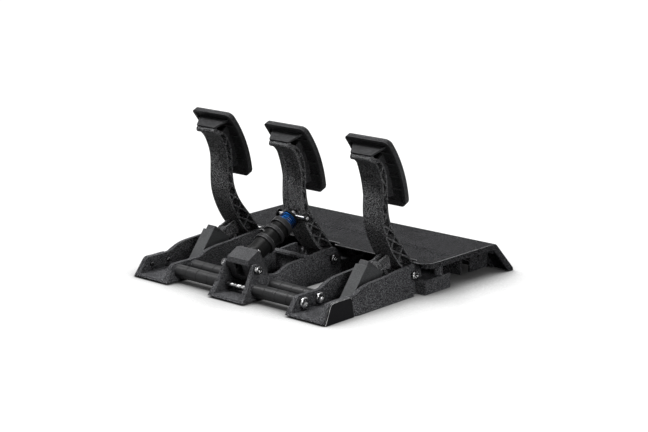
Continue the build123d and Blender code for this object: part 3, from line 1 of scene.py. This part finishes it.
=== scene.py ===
import bpy
import json
from math import cos, pi, radians, sin
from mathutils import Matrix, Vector


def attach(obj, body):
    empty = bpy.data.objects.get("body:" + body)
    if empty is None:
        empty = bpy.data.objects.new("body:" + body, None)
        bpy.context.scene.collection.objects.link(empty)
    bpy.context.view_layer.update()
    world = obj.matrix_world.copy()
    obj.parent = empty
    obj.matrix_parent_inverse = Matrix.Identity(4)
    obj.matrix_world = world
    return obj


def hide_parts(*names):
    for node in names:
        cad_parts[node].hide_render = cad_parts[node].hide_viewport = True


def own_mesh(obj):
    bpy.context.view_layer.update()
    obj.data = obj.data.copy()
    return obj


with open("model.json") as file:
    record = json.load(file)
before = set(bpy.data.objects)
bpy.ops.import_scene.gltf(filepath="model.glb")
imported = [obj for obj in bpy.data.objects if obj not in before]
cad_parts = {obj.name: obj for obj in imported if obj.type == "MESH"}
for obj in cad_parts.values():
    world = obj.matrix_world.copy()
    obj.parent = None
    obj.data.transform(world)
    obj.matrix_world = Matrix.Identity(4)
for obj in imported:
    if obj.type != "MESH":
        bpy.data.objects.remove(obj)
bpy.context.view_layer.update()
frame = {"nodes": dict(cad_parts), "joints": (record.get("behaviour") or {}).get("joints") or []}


# Studio
# A flat board that shows white round the pedals and greys near the middle, with a painted
# contact shade in its glow where they stand, three soft boxes and a dim even room, seen
# from the toe end on the clutch side.

scene = bpy.context.scene
scene.view_settings.view_transform = "Standard"
white = (1, 1, 1, 1)
black = (0, 0, 0, 1)


def node(tree, kind, values=None, **settings):
    """A shader node with its settings, its input values and its input links."""
    made = tree.nodes.new("ShaderNode" + kind)
    for name, setting in settings.items():
        setattr(made, name, setting)
    for socket, value in (values or {}).items():
        if isinstance(value, bpy.types.NodeSocket):
            tree.links.new(value, made.inputs[socket])
        else:
            made.inputs[socket].default_value = value
    return made


def calculate(tree, operation, *terms):
    """One sum of a shader, such as a product or the larger of two values."""
    return node(tree, "Math", dict(enumerate(terms)), operation=operation).outputs[0]


def ramp(tree, value, start, end, low=0.0, high=1.0):
    """A value taken evenly from one range to another and held at both ends."""
    ranges = {"From Min": start, "From Max": end, "To Min": low, "To Max": high}
    return node(tree, "MapRange", {"Value": value, **ranges}).outputs[0]


def seen_rays(tree):
    """1 for rays that show the background: from the camera, a gloss or a glass."""
    path = node(tree, "LightPath").outputs
    direct = calculate(tree, "MAXIMUM", path["Is Camera Ray"], path["Is Glossy Ray"])
    return calculate(tree, "MAXIMUM", direct, path["Is Transmission Ray"])


room_level = 0.09
world = bpy.data.worlds.new("studio_room")
scene.world = world
world.use_nodes = True
room = world.node_tree
room.nodes.clear()
room_light = node(room, "Background", {"Color": white, "Strength": room_level}).outputs[0]
room_seen = node(room, "Background", {"Color": white, "Strength": 1.0}).outputs[0]
room_mix = node(room, "MixShader", {0: seen_rays(room), 1: room_light, 2: room_seen})
node(room, "OutputWorld", {"Surface": room_mix.outputs[0]})

floor_half = 6.0
floor_corners = [
    (-floor_half, -floor_half, 0), (floor_half, -floor_half, 0),
    (floor_half, floor_half, 0), (-floor_half, floor_half, 0),
]
floor_mesh = bpy.data.meshes.new("studio_floor")
floor_mesh.from_pydata(floor_corners, [], [(0, 1, 2, 3)])
floor = bpy.data.objects.new("studio_floor", floor_mesh)
scene.collection.objects.link(floor)

board_grey = (0.09, 0.09, 0.09, 1)
pale_until = 0.25
white_from = 0.7
pale_level = 0.9
painted_shade_reach = 0.08
painted_shade_power = 3.0
floor_paint = bpy.data.materials.new("studio_floor_board")
floor_paint.use_nodes = True
board = floor_paint.node_tree
board.nodes.clear()
board_face = node(board, "BsdfPrincipled", {
    "Base Color": board_grey, "Roughness": 0.9, "Specular IOR Level": 0.05,
})
board_place = node(board, "NewGeometry").outputs["Position"]
board_reach = node(board, "VectorMath", {0: board_place}, operation="LENGTH").outputs["Value"]
board_fade = ramp(board, board_reach, pale_until, white_from, low=pale_level)
# Ambient occlusion dims the board's glow near and between the pedals: a painted contact shade.
painted_contact_shade = node(board, "AmbientOcclusion", {"Distance": painted_shade_reach}, samples=8).outputs["AO"]
painted_shade_factor = calculate(board, "POWER", painted_contact_shade, painted_shade_power)
board_level = calculate(board, "MULTIPLY", board_fade, painted_shade_factor)
board_glow = node(board, "Emission", {"Color": white, "Strength": board_level}).outputs[0]
board_dark = node(board, "Emission", {"Color": black, "Strength": 0.0}).outputs[0]
board_seen = node(board, "MixShader", {0: seen_rays(board), 1: board_dark, 2: board_glow})
board_sum = node(board, "AddShader", {0: board_face.outputs[0], 1: board_seen.outputs[0]})
node(board, "OutputMaterial", {"Surface": board_sum.outputs[0]})
floor_mesh.materials.append(floor_paint)


def aim(thing, target):
    """Turns a lamp or a camera towards a point."""
    thing.rotation_euler = (target - thing.location).to_track_quat("-Z", "Y").to_euler()


def soft_box(name, place, size, power):
    """A square area lamp that faces the middle of the pedals."""
    lamp = bpy.data.lights.new(name, "AREA")
    lamp.shape = "SQUARE"
    lamp.size = size
    lamp.energy = power
    box = bpy.data.objects.new(name, lamp)
    box.location = place
    aim(box, middle)
    scene.collection.objects.link(box)


middle = Vector((0.0, 0.0, 0.08))
soft_box("key_box", place=(0.9, 0.7, 2.0), size=0.6, power=82)
soft_box("top_box", place=(-0.1, 0.2, 2.2), size=1.2, power=62)
soft_box("side_box", place=(-1.75, 0.5, 0.5), size=0.8, power=30)

camera_place = (-1.42635, 1.61297, 0.60936)
camera_target = Vector((0.00674, -0.01656, 0.07032))
camera_data = bpy.data.cameras.new("photo_camera")
camera_data.lens = 97.1
camera_data.sensor_width = 36.0
camera_data.clip_end = 30.0
camera = bpy.data.objects.new("photo_camera", camera_data)
camera.location = camera_place
aim(camera, camera_target)
scene.collection.objects.link(camera)
scene.camera = camera


# Cast frames
# Three die-cast channels in black powder coat, whose grain carries small bright
# crumbs, and whose edges turn a lighter grey, partly wear and partly a painted highlight.

def group(name, inputs, outputs):
    """An empty node group with named sockets, and what it takes and what it gives."""
    tree = bpy.data.node_groups.new(name, "ShaderNodeTree")
    for title, kind, value in inputs:
        socket = tree.interface.new_socket(title, in_out="INPUT", socket_type="NodeSocket" + kind)
        socket.default_value = value
    for title, kind in outputs:
        tree.interface.new_socket(title, in_out="OUTPUT", socket_type="NodeSocket" + kind)
    return tree, tree.nodes.new("NodeGroupInput").outputs, tree.nodes.new("NodeGroupOutput").inputs


def place_group(tree, kind, values):
    """One use of a node group in a material, with its values."""
    made = tree.nodes.new("ShaderNodeGroup")
    made.node_tree = kind
    for socket, value in values.items():
        made.inputs[socket].default_value = value
    return made.outputs


def scaled(tree, vector, factor):
    """A place or a colour times a factor."""
    return node(tree, "VectorMath", {0: vector, "Scale": factor}, operation="SCALE").outputs[0]


def overlaid(tree, share, under, over):
    """One colour laid over another by a share."""
    return node(tree, "Mix", {"Factor": share, 6: under, 7: over}, data_type="RGBA").outputs[2]


# Crumbs stand where the cells of a fine pattern and a ripple are both high, and a
# slow cloud lightens and darkens the whole coat.
cloud_rate = 28.0
grain, taken, given = group(
    "crumbed_grain",
    [
        ("Grain size", "Float", 0.001), ("Crumb share", "Float", 0.4),
        ("Dark", "Color", (0.02, 0.02, 0.02, 1)), ("Light", "Color", (0.06, 0.06, 0.06, 1)),
        ("Smooth", "Float", 0.4), ("Rough", "Float", 0.6),
    ],
    [("Colour", "Color"), ("Roughness", "Float"), ("Height", "Float")],
)
grain_place = node(grain, "TexCoord").outputs["Object"]
grains_per_metre = calculate(grain, "DIVIDE", 1.0, taken["Grain size"])
grain_cells = scaled(grain, grain_place, grains_per_metre)
crumbs = node(grain, "TexVoronoi", {"Vector": grain_cells, "Scale": 1.4}, feature="SMOOTH_F1")
crumb_tops = ramp(grain, crumbs.outputs["Distance"], 0.5, 0.25)
ripple = node(grain, "TexNoise", {
    "Vector": grain_cells, "Scale": 1.9, "Detail": 2.0, "Roughness": 0.5,
})
ripple_up = ramp(grain, ripple.outputs["Fac"], 0.44, 0.56)
relief = calculate(grain, "MULTIPLY", crumb_tops, ripple_up)
cloud = node(grain, "TexNoise", {"Vector": grain_place, "Scale": cloud_rate, "Detail": 3.0})
cloud_level = ramp(grain, cloud.outputs["Fac"], 0.3, 0.7, low=0.75, high=1.15)
crumb_mask = calculate(grain, "MULTIPLY", relief, taken["Crumb share"])
crumbed = overlaid(grain, crumb_mask, taken["Dark"], taken["Light"])
grain.links.new(scaled(grain, crumbed, cloud_level), given["Colour"])
gloss_step = node(grain, "Mix", {"Factor": ripple_up, 2: taken["Smooth"], 3: taken["Rough"]})
grain.links.new(gloss_step.outputs[0], given["Roughness"])
grain.links.new(relief, given["Height"])

# Lighter edges are partly wear and partly a painted highlight. They lie in patches on
# edges that look up, where light from above falls and hands and shoes reach, and on
# the other edges as far as "All edges" says.
wear_and_highlight, taken, given = group(
    "edge_wear_and_highlight",
    [
        ("Edge width", "Float", 0.0008), ("Amount", "Float", 0.5),
        ("Patch size", "Float", 0.01), ("All edges", "Float", 0.0),
    ],
    [("Mask", "Float"), ("Normal", "Vector")],
)
rounded = node(wear_and_highlight, "Bevel", {"Radius": taken["Edge width"]}, samples=4).outputs[0]
flat = node(wear_and_highlight, "NewGeometry").outputs["Normal"]
agree = node(wear_and_highlight, "VectorMath", {0: rounded, 1: flat}, operation="DOT_PRODUCT").outputs["Value"]
edge = ramp(wear_and_highlight, agree, 0.992, 0.9)
patch_place = node(wear_and_highlight, "TexCoord").outputs["Object"]
patches_per_metre = calculate(wear_and_highlight, "DIVIDE", 1.0, taken["Patch size"])
patch_cells = scaled(wear_and_highlight, patch_place, patches_per_metre)
patches = node(wear_and_highlight, "TexNoise", {"Vector": patch_cells, "Scale": 1.0, "Detail": 4.0})
patchy = ramp(wear_and_highlight, patches.outputs["Fac"], 0.25, 0.5)
# Edges that face up get a painted highlight, laid in the same patches as the wear.
upward = node(wear_and_highlight, "SeparateXYZ", {0: rounded}).outputs["Z"]
looks_up = ramp(wear_and_highlight, upward, 0.1, 0.45)
touched_or_lit = calculate(wear_and_highlight, "MAXIMUM", looks_up, taken["All edges"])
patchy_wear_or_light = calculate(wear_and_highlight, "MULTIPLY", patchy, touched_or_lit)
worn_or_lit_edge = calculate(wear_and_highlight, "MULTIPLY", edge, patchy_wear_or_light)
wear_and_highlight.links.new(calculate(wear_and_highlight, "MULTIPLY", worn_or_lit_edge, taken["Amount"]), given["Mask"])
wear_and_highlight.links.new(rounded, given["Normal"])


def finish(
    name, dark, light, grain_size, depth, smooth, rough, crumb_share=0.5,
    wear_highlight_colour=None, wear_highlight_amount=0.5, edge_width=0.0006, all_edges=0.0,
    metal=0.0, coat=0.0, specular=0.5,
):
    """A surface with grain and rounded edges, lightened by wear and a painted highlight. Colours
    are linear, sizes are metres.
    """
    made = bpy.data.materials.new(name)
    made.use_nodes = True
    tree = made.node_tree
    tree.nodes.clear()
    skin = place_group(tree, grain, {
        "Grain size": grain_size, "Crumb share": crumb_share,
        "Dark": (*dark, 1), "Light": (*light, 1), "Smooth": smooth, "Rough": rough,
    })
    edge_wear_highlight = place_group(tree, wear_and_highlight, {
        "Edge width": edge_width, "Amount": wear_highlight_amount, "All edges": all_edges,
    })
    # The edge colour is wear and a painted highlight together.
    colour = overlaid(tree, edge_wear_highlight["Mask"], skin["Colour"], (*(wear_highlight_colour or light), 1))
    bump = node(tree, "Bump", {
        "Strength": 1.0, "Distance": depth, "Height": skin["Height"], "Normal": edge_wear_highlight["Normal"],
    })
    surface = node(tree, "BsdfPrincipled", {
        "Base Color": colour, "Roughness": skin["Roughness"], "Normal": bump.outputs[0],
        "Metallic": metal, "Coat Weight": coat, "Specular IOR Level": specular,
    })
    node(tree, "OutputMaterial", {"Surface": surface.outputs[0]})
    return made


def dress(material, *names):
    """Gives CAD nodes one finish."""
    for name in names:
        piece = frame["nodes"][name]
        piece.data.materials.clear()
        piece.data.materials.append(material)


def on_each_pedal(piece):
    """The names of a piece that throttle, brake and clutch all have."""
    return [f"{pedal}_{piece}" for pedal in ("throttle", "brake", "clutch")]


frame_coat = finish(
    "frame_powder_coat", dark=(0.006, 0.006, 0.007), light=(0.2, 0.202, 0.21),
    grain_size=0.0010, depth=0.00018, smooth=0.5, rough=0.7, crumb_share=0.8,
    wear_highlight_colour=(0.10, 0.10, 0.105), edge_width=0.0008, specular=0.04,
)
dress(frame_coat, *on_each_pedal("frame"))


# Tie rods and spacer rings
# Two plated steel rods through all three toes, domed socket heads on the clutch
# side and small nuts on the throttle side, with turned, darkened rings between.

rod_steel = finish(
    "plated_rod_steel", dark=(0.26, 0.26, 0.263), light=(0.8, 0.8, 0.8),
    grain_size=0.0075, depth=0.00002, smooth=0.12, rough=0.28, crumb_share=0.8,
    wear_highlight_colour=(0.8, 0.8, 0.8), wear_highlight_amount=0.4, edge_width=0.0003, metal=1.0,
)
dress(rod_steel, "tie_rods", "tie_rod_nuts")
ring_skin = finish(
    "turned_ring_coat", dark=(0.010, 0.010, 0.0105), light=(0.03, 0.03, 0.0315),
    grain_size=0.0011, depth=0.00004, smooth=0.3, rough=0.42,
    wear_highlight_amount=0.0, edge_width=0.0002, specular=0.14,
)
dress(ring_skin, "spacer_rings")


# Toe covers and feet
# Moulded caps pegged on the outer walls of the toes, and rubber pads glued in
# under the toes and under the heel end.

# The caps' near-white edges are a painted highlight, laid in patches like wear.
cover_skin = finish(
    "toe_cover_plastic", dark=(0.004, 0.004, 0.0045), light=(0.008, 0.008, 0.0085),
    grain_size=0.0006, depth=0.00004, smooth=0.4, rough=0.56,
    wear_highlight_colour=(0.5, 0.5, 0.505), wear_highlight_amount=1.0, edge_width=0.0012, specular=0.03,
)
dress(cover_skin, "toe_covers")
foot_rubber = finish(
    "foot_rubber", dark=(0.008, 0.008, 0.008), light=(0.02, 0.02, 0.0195),
    grain_size=0.0008, depth=0.00006, smooth=0.6, rough=0.8, specular=0.1,
)
dress(foot_rubber, "rubber_feet")


# Pedal arms
# Metal arms with curved skins, a middle web and thin truss ribs, powder coated
# like the frames, which turn on the pivot bolts in moulded bushings.

# The lighter grey on the edges of the skins and ribs is partly wear and partly a painted
# highlight.
arm_coat = finish(
    "arm_powder_coat", dark=(0.003, 0.003, 0.0035), light=(0.38, 0.382, 0.39),
    grain_size=0.0010, depth=0.00018, smooth=0.5, rough=0.7, crumb_share=0.75,
    wear_highlight_colour=(0.13, 0.13, 0.135), wear_highlight_amount=0.9, edge_width=0.0006, all_edges=0.9,
    specular=0.03,
)
dress(arm_coat, *on_each_pedal("arm"))
bushing_skin = finish(
    "bushing_plastic", dark=(0.012, 0.012, 0.012), light=(0.03, 0.03, 0.03),
    grain_size=0.0008, depth=0.00003, smooth=0.35, rough=0.5, specular=0.1,
)
dress(bushing_skin, *on_each_pedal("bushings"), "toe_bushes")


# Pads
# A curved, coated metal tread plate screwed to a ribbed moulded shell, whose
# rails and gusset hold it on the arm's head.

# The lighter edges of the shell's ribs and of the tread plate are partly wear and partly a painted
# highlight.
shell_skin = finish(
    "pad_shell_plastic", dark=(0.007, 0.007, 0.0075), light=(0.09, 0.091, 0.094),
    grain_size=0.0010, depth=0.00010, smooth=0.5, rough=0.66, crumb_share=0.7,
    wear_highlight_colour=(0.1, 0.1, 0.103), wear_highlight_amount=0.8, edge_width=0.0006, all_edges=0.6,
    specular=0.06,
)
dress(shell_skin, *on_each_pedal("pad_shell"))
tread_coat = finish(
    "tread_plate_coat", dark=(0.008, 0.008, 0.0085), light=(0.035, 0.036, 0.038),
    grain_size=0.0008, depth=0.00007, smooth=0.36, rough=0.52,
    wear_highlight_colour=(0.13, 0.13, 0.133), wear_highlight_amount=0.9, edge_width=0.0009, all_edges=0.7,
    specular=0.1,
)
dress(tread_coat, *on_each_pedal("pad_plate"))


# Bolts, screws and pins
# Bought socket screws and nuts in blackened steel, the smooth steel pins and rod
# of the linkages, and the darker clips of the cross pin and seat of the spring.

black_bolt = finish(
    "blackened_bolt_steel", dark=(0.08, 0.08, 0.082), light=(0.8, 0.8, 0.8),
    grain_size=0.0036, depth=0.00005, smooth=0.12, rough=0.3, crumb_share=0.8,
    wear_highlight_colour=(0.75, 0.75, 0.75), wear_highlight_amount=0.8, edge_width=0.0004, metal=1.0,
)
dress(black_bolt, "pivot_bolts", "pivot_nuts", "toe_bolts")
dress(black_bolt, "load_cell_screws", "heel_plate_screws", *on_each_pedal("pad_screws"))
pin_steel = finish(
    "ground_pin_steel", dark=(0.4, 0.4, 0.41), light=(0.62, 0.62, 0.63),
    grain_size=0.0004, depth=0.00001, smooth=0.18, rough=0.34,
    wear_highlight_colour=(0.8, 0.8, 0.8), edge_width=0.0003, metal=1.0,
)
dress(pin_steel, "throttle_fork_pin", "clutch_fork_pin", "cartridge_base_pins")
dress(pin_steel, "cross_pin", "brake_rod")
clip_steel = finish(
    "blackened_clip_steel", dark=(0.012, 0.012, 0.0125), light=(0.05, 0.05, 0.052),
    grain_size=0.0012, depth=0.00002, smooth=0.24, rough=0.4,
    wear_highlight_colour=(0.16, 0.16, 0.165), wear_highlight_amount=0.6, edge_width=0.0003, metal=1.0,
)
dress(clip_steel, "cross_pin_clips", "spring_seat")


# Spring cartridges
# A tapered moulded box on a base pin, a sliding block in it, and a coil spring
# of drawn wire between the two; the real spring shortens as the pedal goes down, this one keeps
# one length on the cartridge.

cartridge_skin = finish(
    "cartridge_plastic", dark=(0.03, 0.031, 0.032), light=(0.09, 0.092, 0.095),
    grain_size=0.0012, depth=0.00008, smooth=0.42, rough=0.6,
    wear_highlight_colour=(0.09, 0.09, 0.095), edge_width=0.0005, specular=0.1,
)
dress(cartridge_skin, "throttle_spring_housing", "clutch_spring_housing")
slider_skin = finish(
    "slider_plastic", dark=(0.02, 0.02, 0.021), light=(0.10, 0.102, 0.107),
    grain_size=0.0011, depth=0.00009, smooth=0.4, rough=0.56,
    wear_highlight_colour=(0.09, 0.09, 0.095), edge_width=0.0005, specular=0.1,
)
dress(slider_skin, "throttle_spring_plunger", "clutch_spring_plunger")
spring_wire = finish(
    "drawn_spring_wire", dark=(0.35, 0.35, 0.36), light=(0.5, 0.5, 0.5),
    grain_size=0.0004, depth=0.00001, smooth=0.2, rough=0.36, metal=1.0,
)

joints = {joint["name"]: joint for joint in frame["joints"]}
side_axis = Vector((1, 0, 0))


def smooth_piece(name, vertices, faces, material):
    """A smoothly shaded mesh in one finish, in the scene."""
    mesh = bpy.data.meshes.new(name)
    mesh.from_pydata(vertices, [], faces)
    mesh.validate()
    mesh.shade_smooth()
    mesh.materials.append(material)
    piece = bpy.data.objects.new(name, mesh)
    scene.collection.objects.link(piece)
    return piece


def wire_coil(name, base, axis, radius, wire, length, turns, material, steps=40, sides=14):
    """A wound spring from its base along its axis, with one flattened turn at each end.
    Its radius is that of the turns' middle line, and wire is half of the wire's width.
    The end gap is free: the last turn stops short of the seat at the far end."""
    over = axis.cross(side_axis)
    flat_rise = 2 * wire
    end_gap = 2 * wire
    open_rise = length - 2 * wire - flat_rise - end_gap
    points = []
    for index in range(round((turns + 2) * steps) + 1):
        turn = index / steps
        open_turn = min(max(turn - 1, 0), turns)
        flat_share = (turn - open_turn) / 2
        height = wire + flat_rise * flat_share + open_rise * open_turn / turns
        angle = 2 * pi * turn
        round_axis = side_axis * cos(angle) + over * sin(angle)
        points.append(base + round_axis * radius + axis * height)

    vertices, faces = [], []
    last = len(points) - 1
    for index, point in enumerate(points):
        ahead = (points[min(index + 1, last)] - points[max(index - 1, 0)]).normalized()
        out = ahead.cross(axis).normalized()
        up = out.cross(ahead)
        for side in range(sides):
            angle = 2 * pi * side / sides
            vertices.append(point + (out * cos(angle) + up * sin(angle)) * wire)
    for ring in range(0, last * sides, sides):
        for side in range(sides):
            here, beside = ring + side, ring + (side + 1) % sides
            faces.append((here, beside, beside + sides, here + sides))
    faces.append(tuple(range(sides))[::-1])
    faces.append(tuple(range(len(vertices) - sides, len(vertices))))
    return smooth_piece(name, vertices, faces, material)


tilt = radians(51.6)
cartridge_up = Vector((0, -cos(tilt), sin(tilt)))
cartridge_ahead = Vector((0, sin(tilt), cos(tilt)))
fork_pin_y = 0.0603
fork_pin_z = 0.0522
housing_floor_drop = 0.0329
spring_inset = 0.0145
return_radius = 0.0045
return_wire = 0.0007
return_length = 0.0288
return_turns = 6
for name in ("throttle", "clutch"):
    module_x = joints[f"{name}_cartridge_swing"]["pos_m"][0]
    fork_pin = Vector((module_x, fork_pin_y, fork_pin_z))
    foot = fork_pin - cartridge_up * housing_floor_drop - cartridge_ahead * spring_inset
    spring = wire_coil(
        f"{name}_return_spring", foot, cartridge_up, return_radius, return_wire,
        return_length, return_turns, spring_wire,
    )
    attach(spring, f"{name}_cartridge")
    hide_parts(f"{name}_coil_spring")
    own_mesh(spring)


# Load cell housing
# A moulded housing and its back plate on the toe bolts, with the milled block
# that measures the push screwed in between.

housing_skin = finish(
    "load_cell_housing_plastic", dark=(0.014, 0.014, 0.015), light=(0.11, 0.112, 0.117),
    grain_size=0.0012, depth=0.00010, smooth=0.4, rough=0.56, crumb_share=0.6,
    wear_highlight_colour=(0.11, 0.11, 0.115), wear_highlight_amount=0.7, edge_width=0.0007, specular=0.1,
)
dress(housing_skin, "load_cell_housing", "load_cell_plate")
cell_metal = finish(
    "load_cell_aluminium", dark=(0.35, 0.35, 0.36), light=(0.5, 0.5, 0.5),
    grain_size=0.0006, depth=0.00002, smooth=0.3, rough=0.45, metal=1.0,
)
dress(cell_metal, "load_cell")


# Elastomers and cups
# Three rubber cylinders threaded on the brake rod, with rounded rims and slightly
# hollow sides, each seated in the recess of a moulded cup.

# The cups' light grey rims are a painted highlight, laid in patches like wear.
cup_skin = finish(
    "cup_plastic", dark=(0.010, 0.010, 0.0105), light=(0.022, 0.022, 0.023),
    grain_size=0.0007, depth=0.00003, smooth=0.28, rough=0.42,
    wear_highlight_colour=(0.35, 0.35, 0.355), wear_highlight_amount=1.0, edge_width=0.0008, specular=0.06,
)
dress(cup_skin, "cup_1", "cup_2", "cup_3")
elastomer_skin = finish(
    "elastomer_rubber", dark=(0.003, 0.003, 0.003), light=(0.007, 0.007, 0.0068),
    grain_size=0.0009, depth=0.00003, smooth=0.26, rough=0.4, specular=0.05,
)

load_pivot = Vector(joints["load_cell_swing"]["pos_m"])
cross_pin = Vector((0, 0.0500, 0.0845))
rod_axis = (cross_pin - load_pivot).normalized()
rod_over = rod_axis.cross(side_axis)


def turned(name, profile, material, sides=64):
    """A lathed piece round the brake rod, from places along it and radii."""
    vertices, faces = [], []
    for along, radius in profile:
        for side in range(sides):
            angle = 2 * pi * side / sides
            round_rod = side_axis * cos(angle) + rod_over * sin(angle)
            vertices.append(load_pivot + rod_axis * along + round_rod * radius)
    for index in range(len(profile)):
        ring, after = index * sides, (index + 1) % len(profile) * sides
        for side in range(sides):
            following = (side + 1) % sides
            faces.append((ring + side, ring + following, after + following, after + side))
    return smooth_piece(name, vertices, faces, material)


# Places along the rod are measured from the load cell housing's pivot.
plate_face = 0.0212
first_cup = 0.0440
second_cup = 0.0624
third_cup = 0.0765
cup_width = 0.0055
cup_recess = 0.0035
elastomer_radius = 0.0122
elastomer_bore = 0.0039
rim = 0.0008
waist = 0.00035
waist_places = (0.15, 0.35, 0.5, 0.65, 0.85)
rim_steps = ((0, 1), (1 / 3, 1 / 3), (1, 0))
elastomers = (
    ("elastomer_1", plate_face, first_cup, "load_cell_unit", "first_cup_slide", 0.911),
    ("elastomer_2", first_cup + cup_width, second_cup, "first_cup", "second_cup_slide", 0.900),
    ("elastomer_3", second_cup + cup_width, third_cup, "second_cup", "third_cup_slide", 0.911),
)
for name, start, cup, body, joint, kept in elastomers:
    end = cup + cup_recess
    side_length = end - start - 2 * rim
    outline = [(start, elastomer_bore)]
    for along, inward in rim_steps:
        outline.append((start + rim * along, elastomer_radius - rim * inward))
    for share in waist_places:
        hollow = waist * sin(pi * share)
        outline.append((start + rim + side_length * share, elastomer_radius - hollow))
    for along, inward in reversed(rim_steps):
        outline.append((end - rim * along, elastomer_radius - rim * inward))
    outline.append((end, elastomer_bore))
    rubber = turned(f"{name}_rubber", outline, elastomer_skin)
    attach(rubber, body)
    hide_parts(name)
    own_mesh(rubber)


# Preload spring
# A short spring of blue coated steel wire between the last cup and the seat
# washer, with a painted highlight of lighter blue along the crown of its turns.

spring_paint = finish(
    "blue_spring_paint", dark=(0.0005, 0.007, 0.03), light=(0.002, 0.03, 0.11),
    grain_size=0.0018, depth=0.00002, smooth=0.14, rough=0.28,
    wear_highlight_colour=(0.02, 0.14, 0.3), wear_highlight_amount=0.4, edge_width=0.0003, metal=1.0,
)
# Painted highlight: lighter blue where the wire faces across the rod, along the crown of each
# turn.
highlight_blue = (0.008, 0.11, 0.42, 1)
paint = spring_paint.node_tree
paint_face = next(part for part in paint.nodes if part.type == "BSDF_PRINCIPLED")
paint_under = paint_face.inputs["Base Color"].links[0].from_socket
facing = node(paint, "NewGeometry").outputs["Normal"]
along_rod = node(paint, "VectorMath", {0: facing, 1: tuple(rod_axis)}, operation="DOT_PRODUCT")
off_crown = calculate(paint, "ABSOLUTE", along_rod.outputs["Value"])
painted_crown_highlight = ramp(paint, off_crown, 0.3, 0.05)
highlighted_paint = overlaid(paint, painted_crown_highlight, paint_under, highlight_blue)
paint.links.new(highlighted_paint, paint_face.inputs["Base Color"])

last_cup_width = 0.0075
rod_eye_front = 0.0044
seat_width = 0.0016
preload_radius = 0.0110
preload_wire = 0.0008
preload_turns = 3.3
preload_start = third_cup + last_cup_width
seat_start = (cross_pin - load_pivot).length - rod_eye_front - seat_width
preload_foot = load_pivot + rod_axis * preload_start
preload = wire_coil(
    "preload_coil", preload_foot, rod_axis, preload_radius, preload_wire,
    seat_start - preload_start, preload_turns, spring_paint,
)
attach(preload, "third_cup")
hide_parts("preload_spring")
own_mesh(preload)


# Heel plate
# One large moulding with a spark-eroded grain, screwed on the frames' tails from
# below.

# The light grey on the plate's edges is a painted highlight, partly wear.
plate_skin = finish(
    "heel_plate_plastic", dark=(0.002, 0.002, 0.0025), light=(0.10, 0.101, 0.105),
    grain_size=0.0012, depth=0.0002, smooth=0.6, rough=0.8, crumb_share=0.8,
    wear_highlight_colour=(0.3, 0.3, 0.305), wear_highlight_amount=0.9, edge_width=0.0013, specular=0.02,
)
dress(plate_skin, "heel_plate")


# Electronics
# A small moulded box under the heel plate with its board and cable socket, and
# the angle sensors beside the arms with the plated magnets that they read.

box_skin = finish(
    "electronics_box_plastic", dark=(0.009, 0.009, 0.0095), light=(0.03, 0.03, 0.031),
    grain_size=0.0007, depth=0.00004, smooth=0.4, rough=0.55, specular=0.1,
)
dress(box_skin, "electronics_housing", "electronics_lid")
board_skin = finish(
    "circuit_board_lacquer", dark=(0.005, 0.05, 0.02), light=(0.02, 0.11, 0.05),
    grain_size=0.0016, depth=0.00001, smooth=0.25, rough=0.4, coat=0.5,
)
dress(board_skin, "circuit_board", "sensor_boards")
socket_metal = finish(
    "socket_plating", dark=(0.4, 0.4, 0.41), light=(0.6, 0.6, 0.6),
    grain_size=0.0005, depth=0.00001, smooth=0.2, rough=0.35, metal=1.0,
)
dress(socket_metal, "cable_socket", "throttle_magnet", "clutch_magnet")
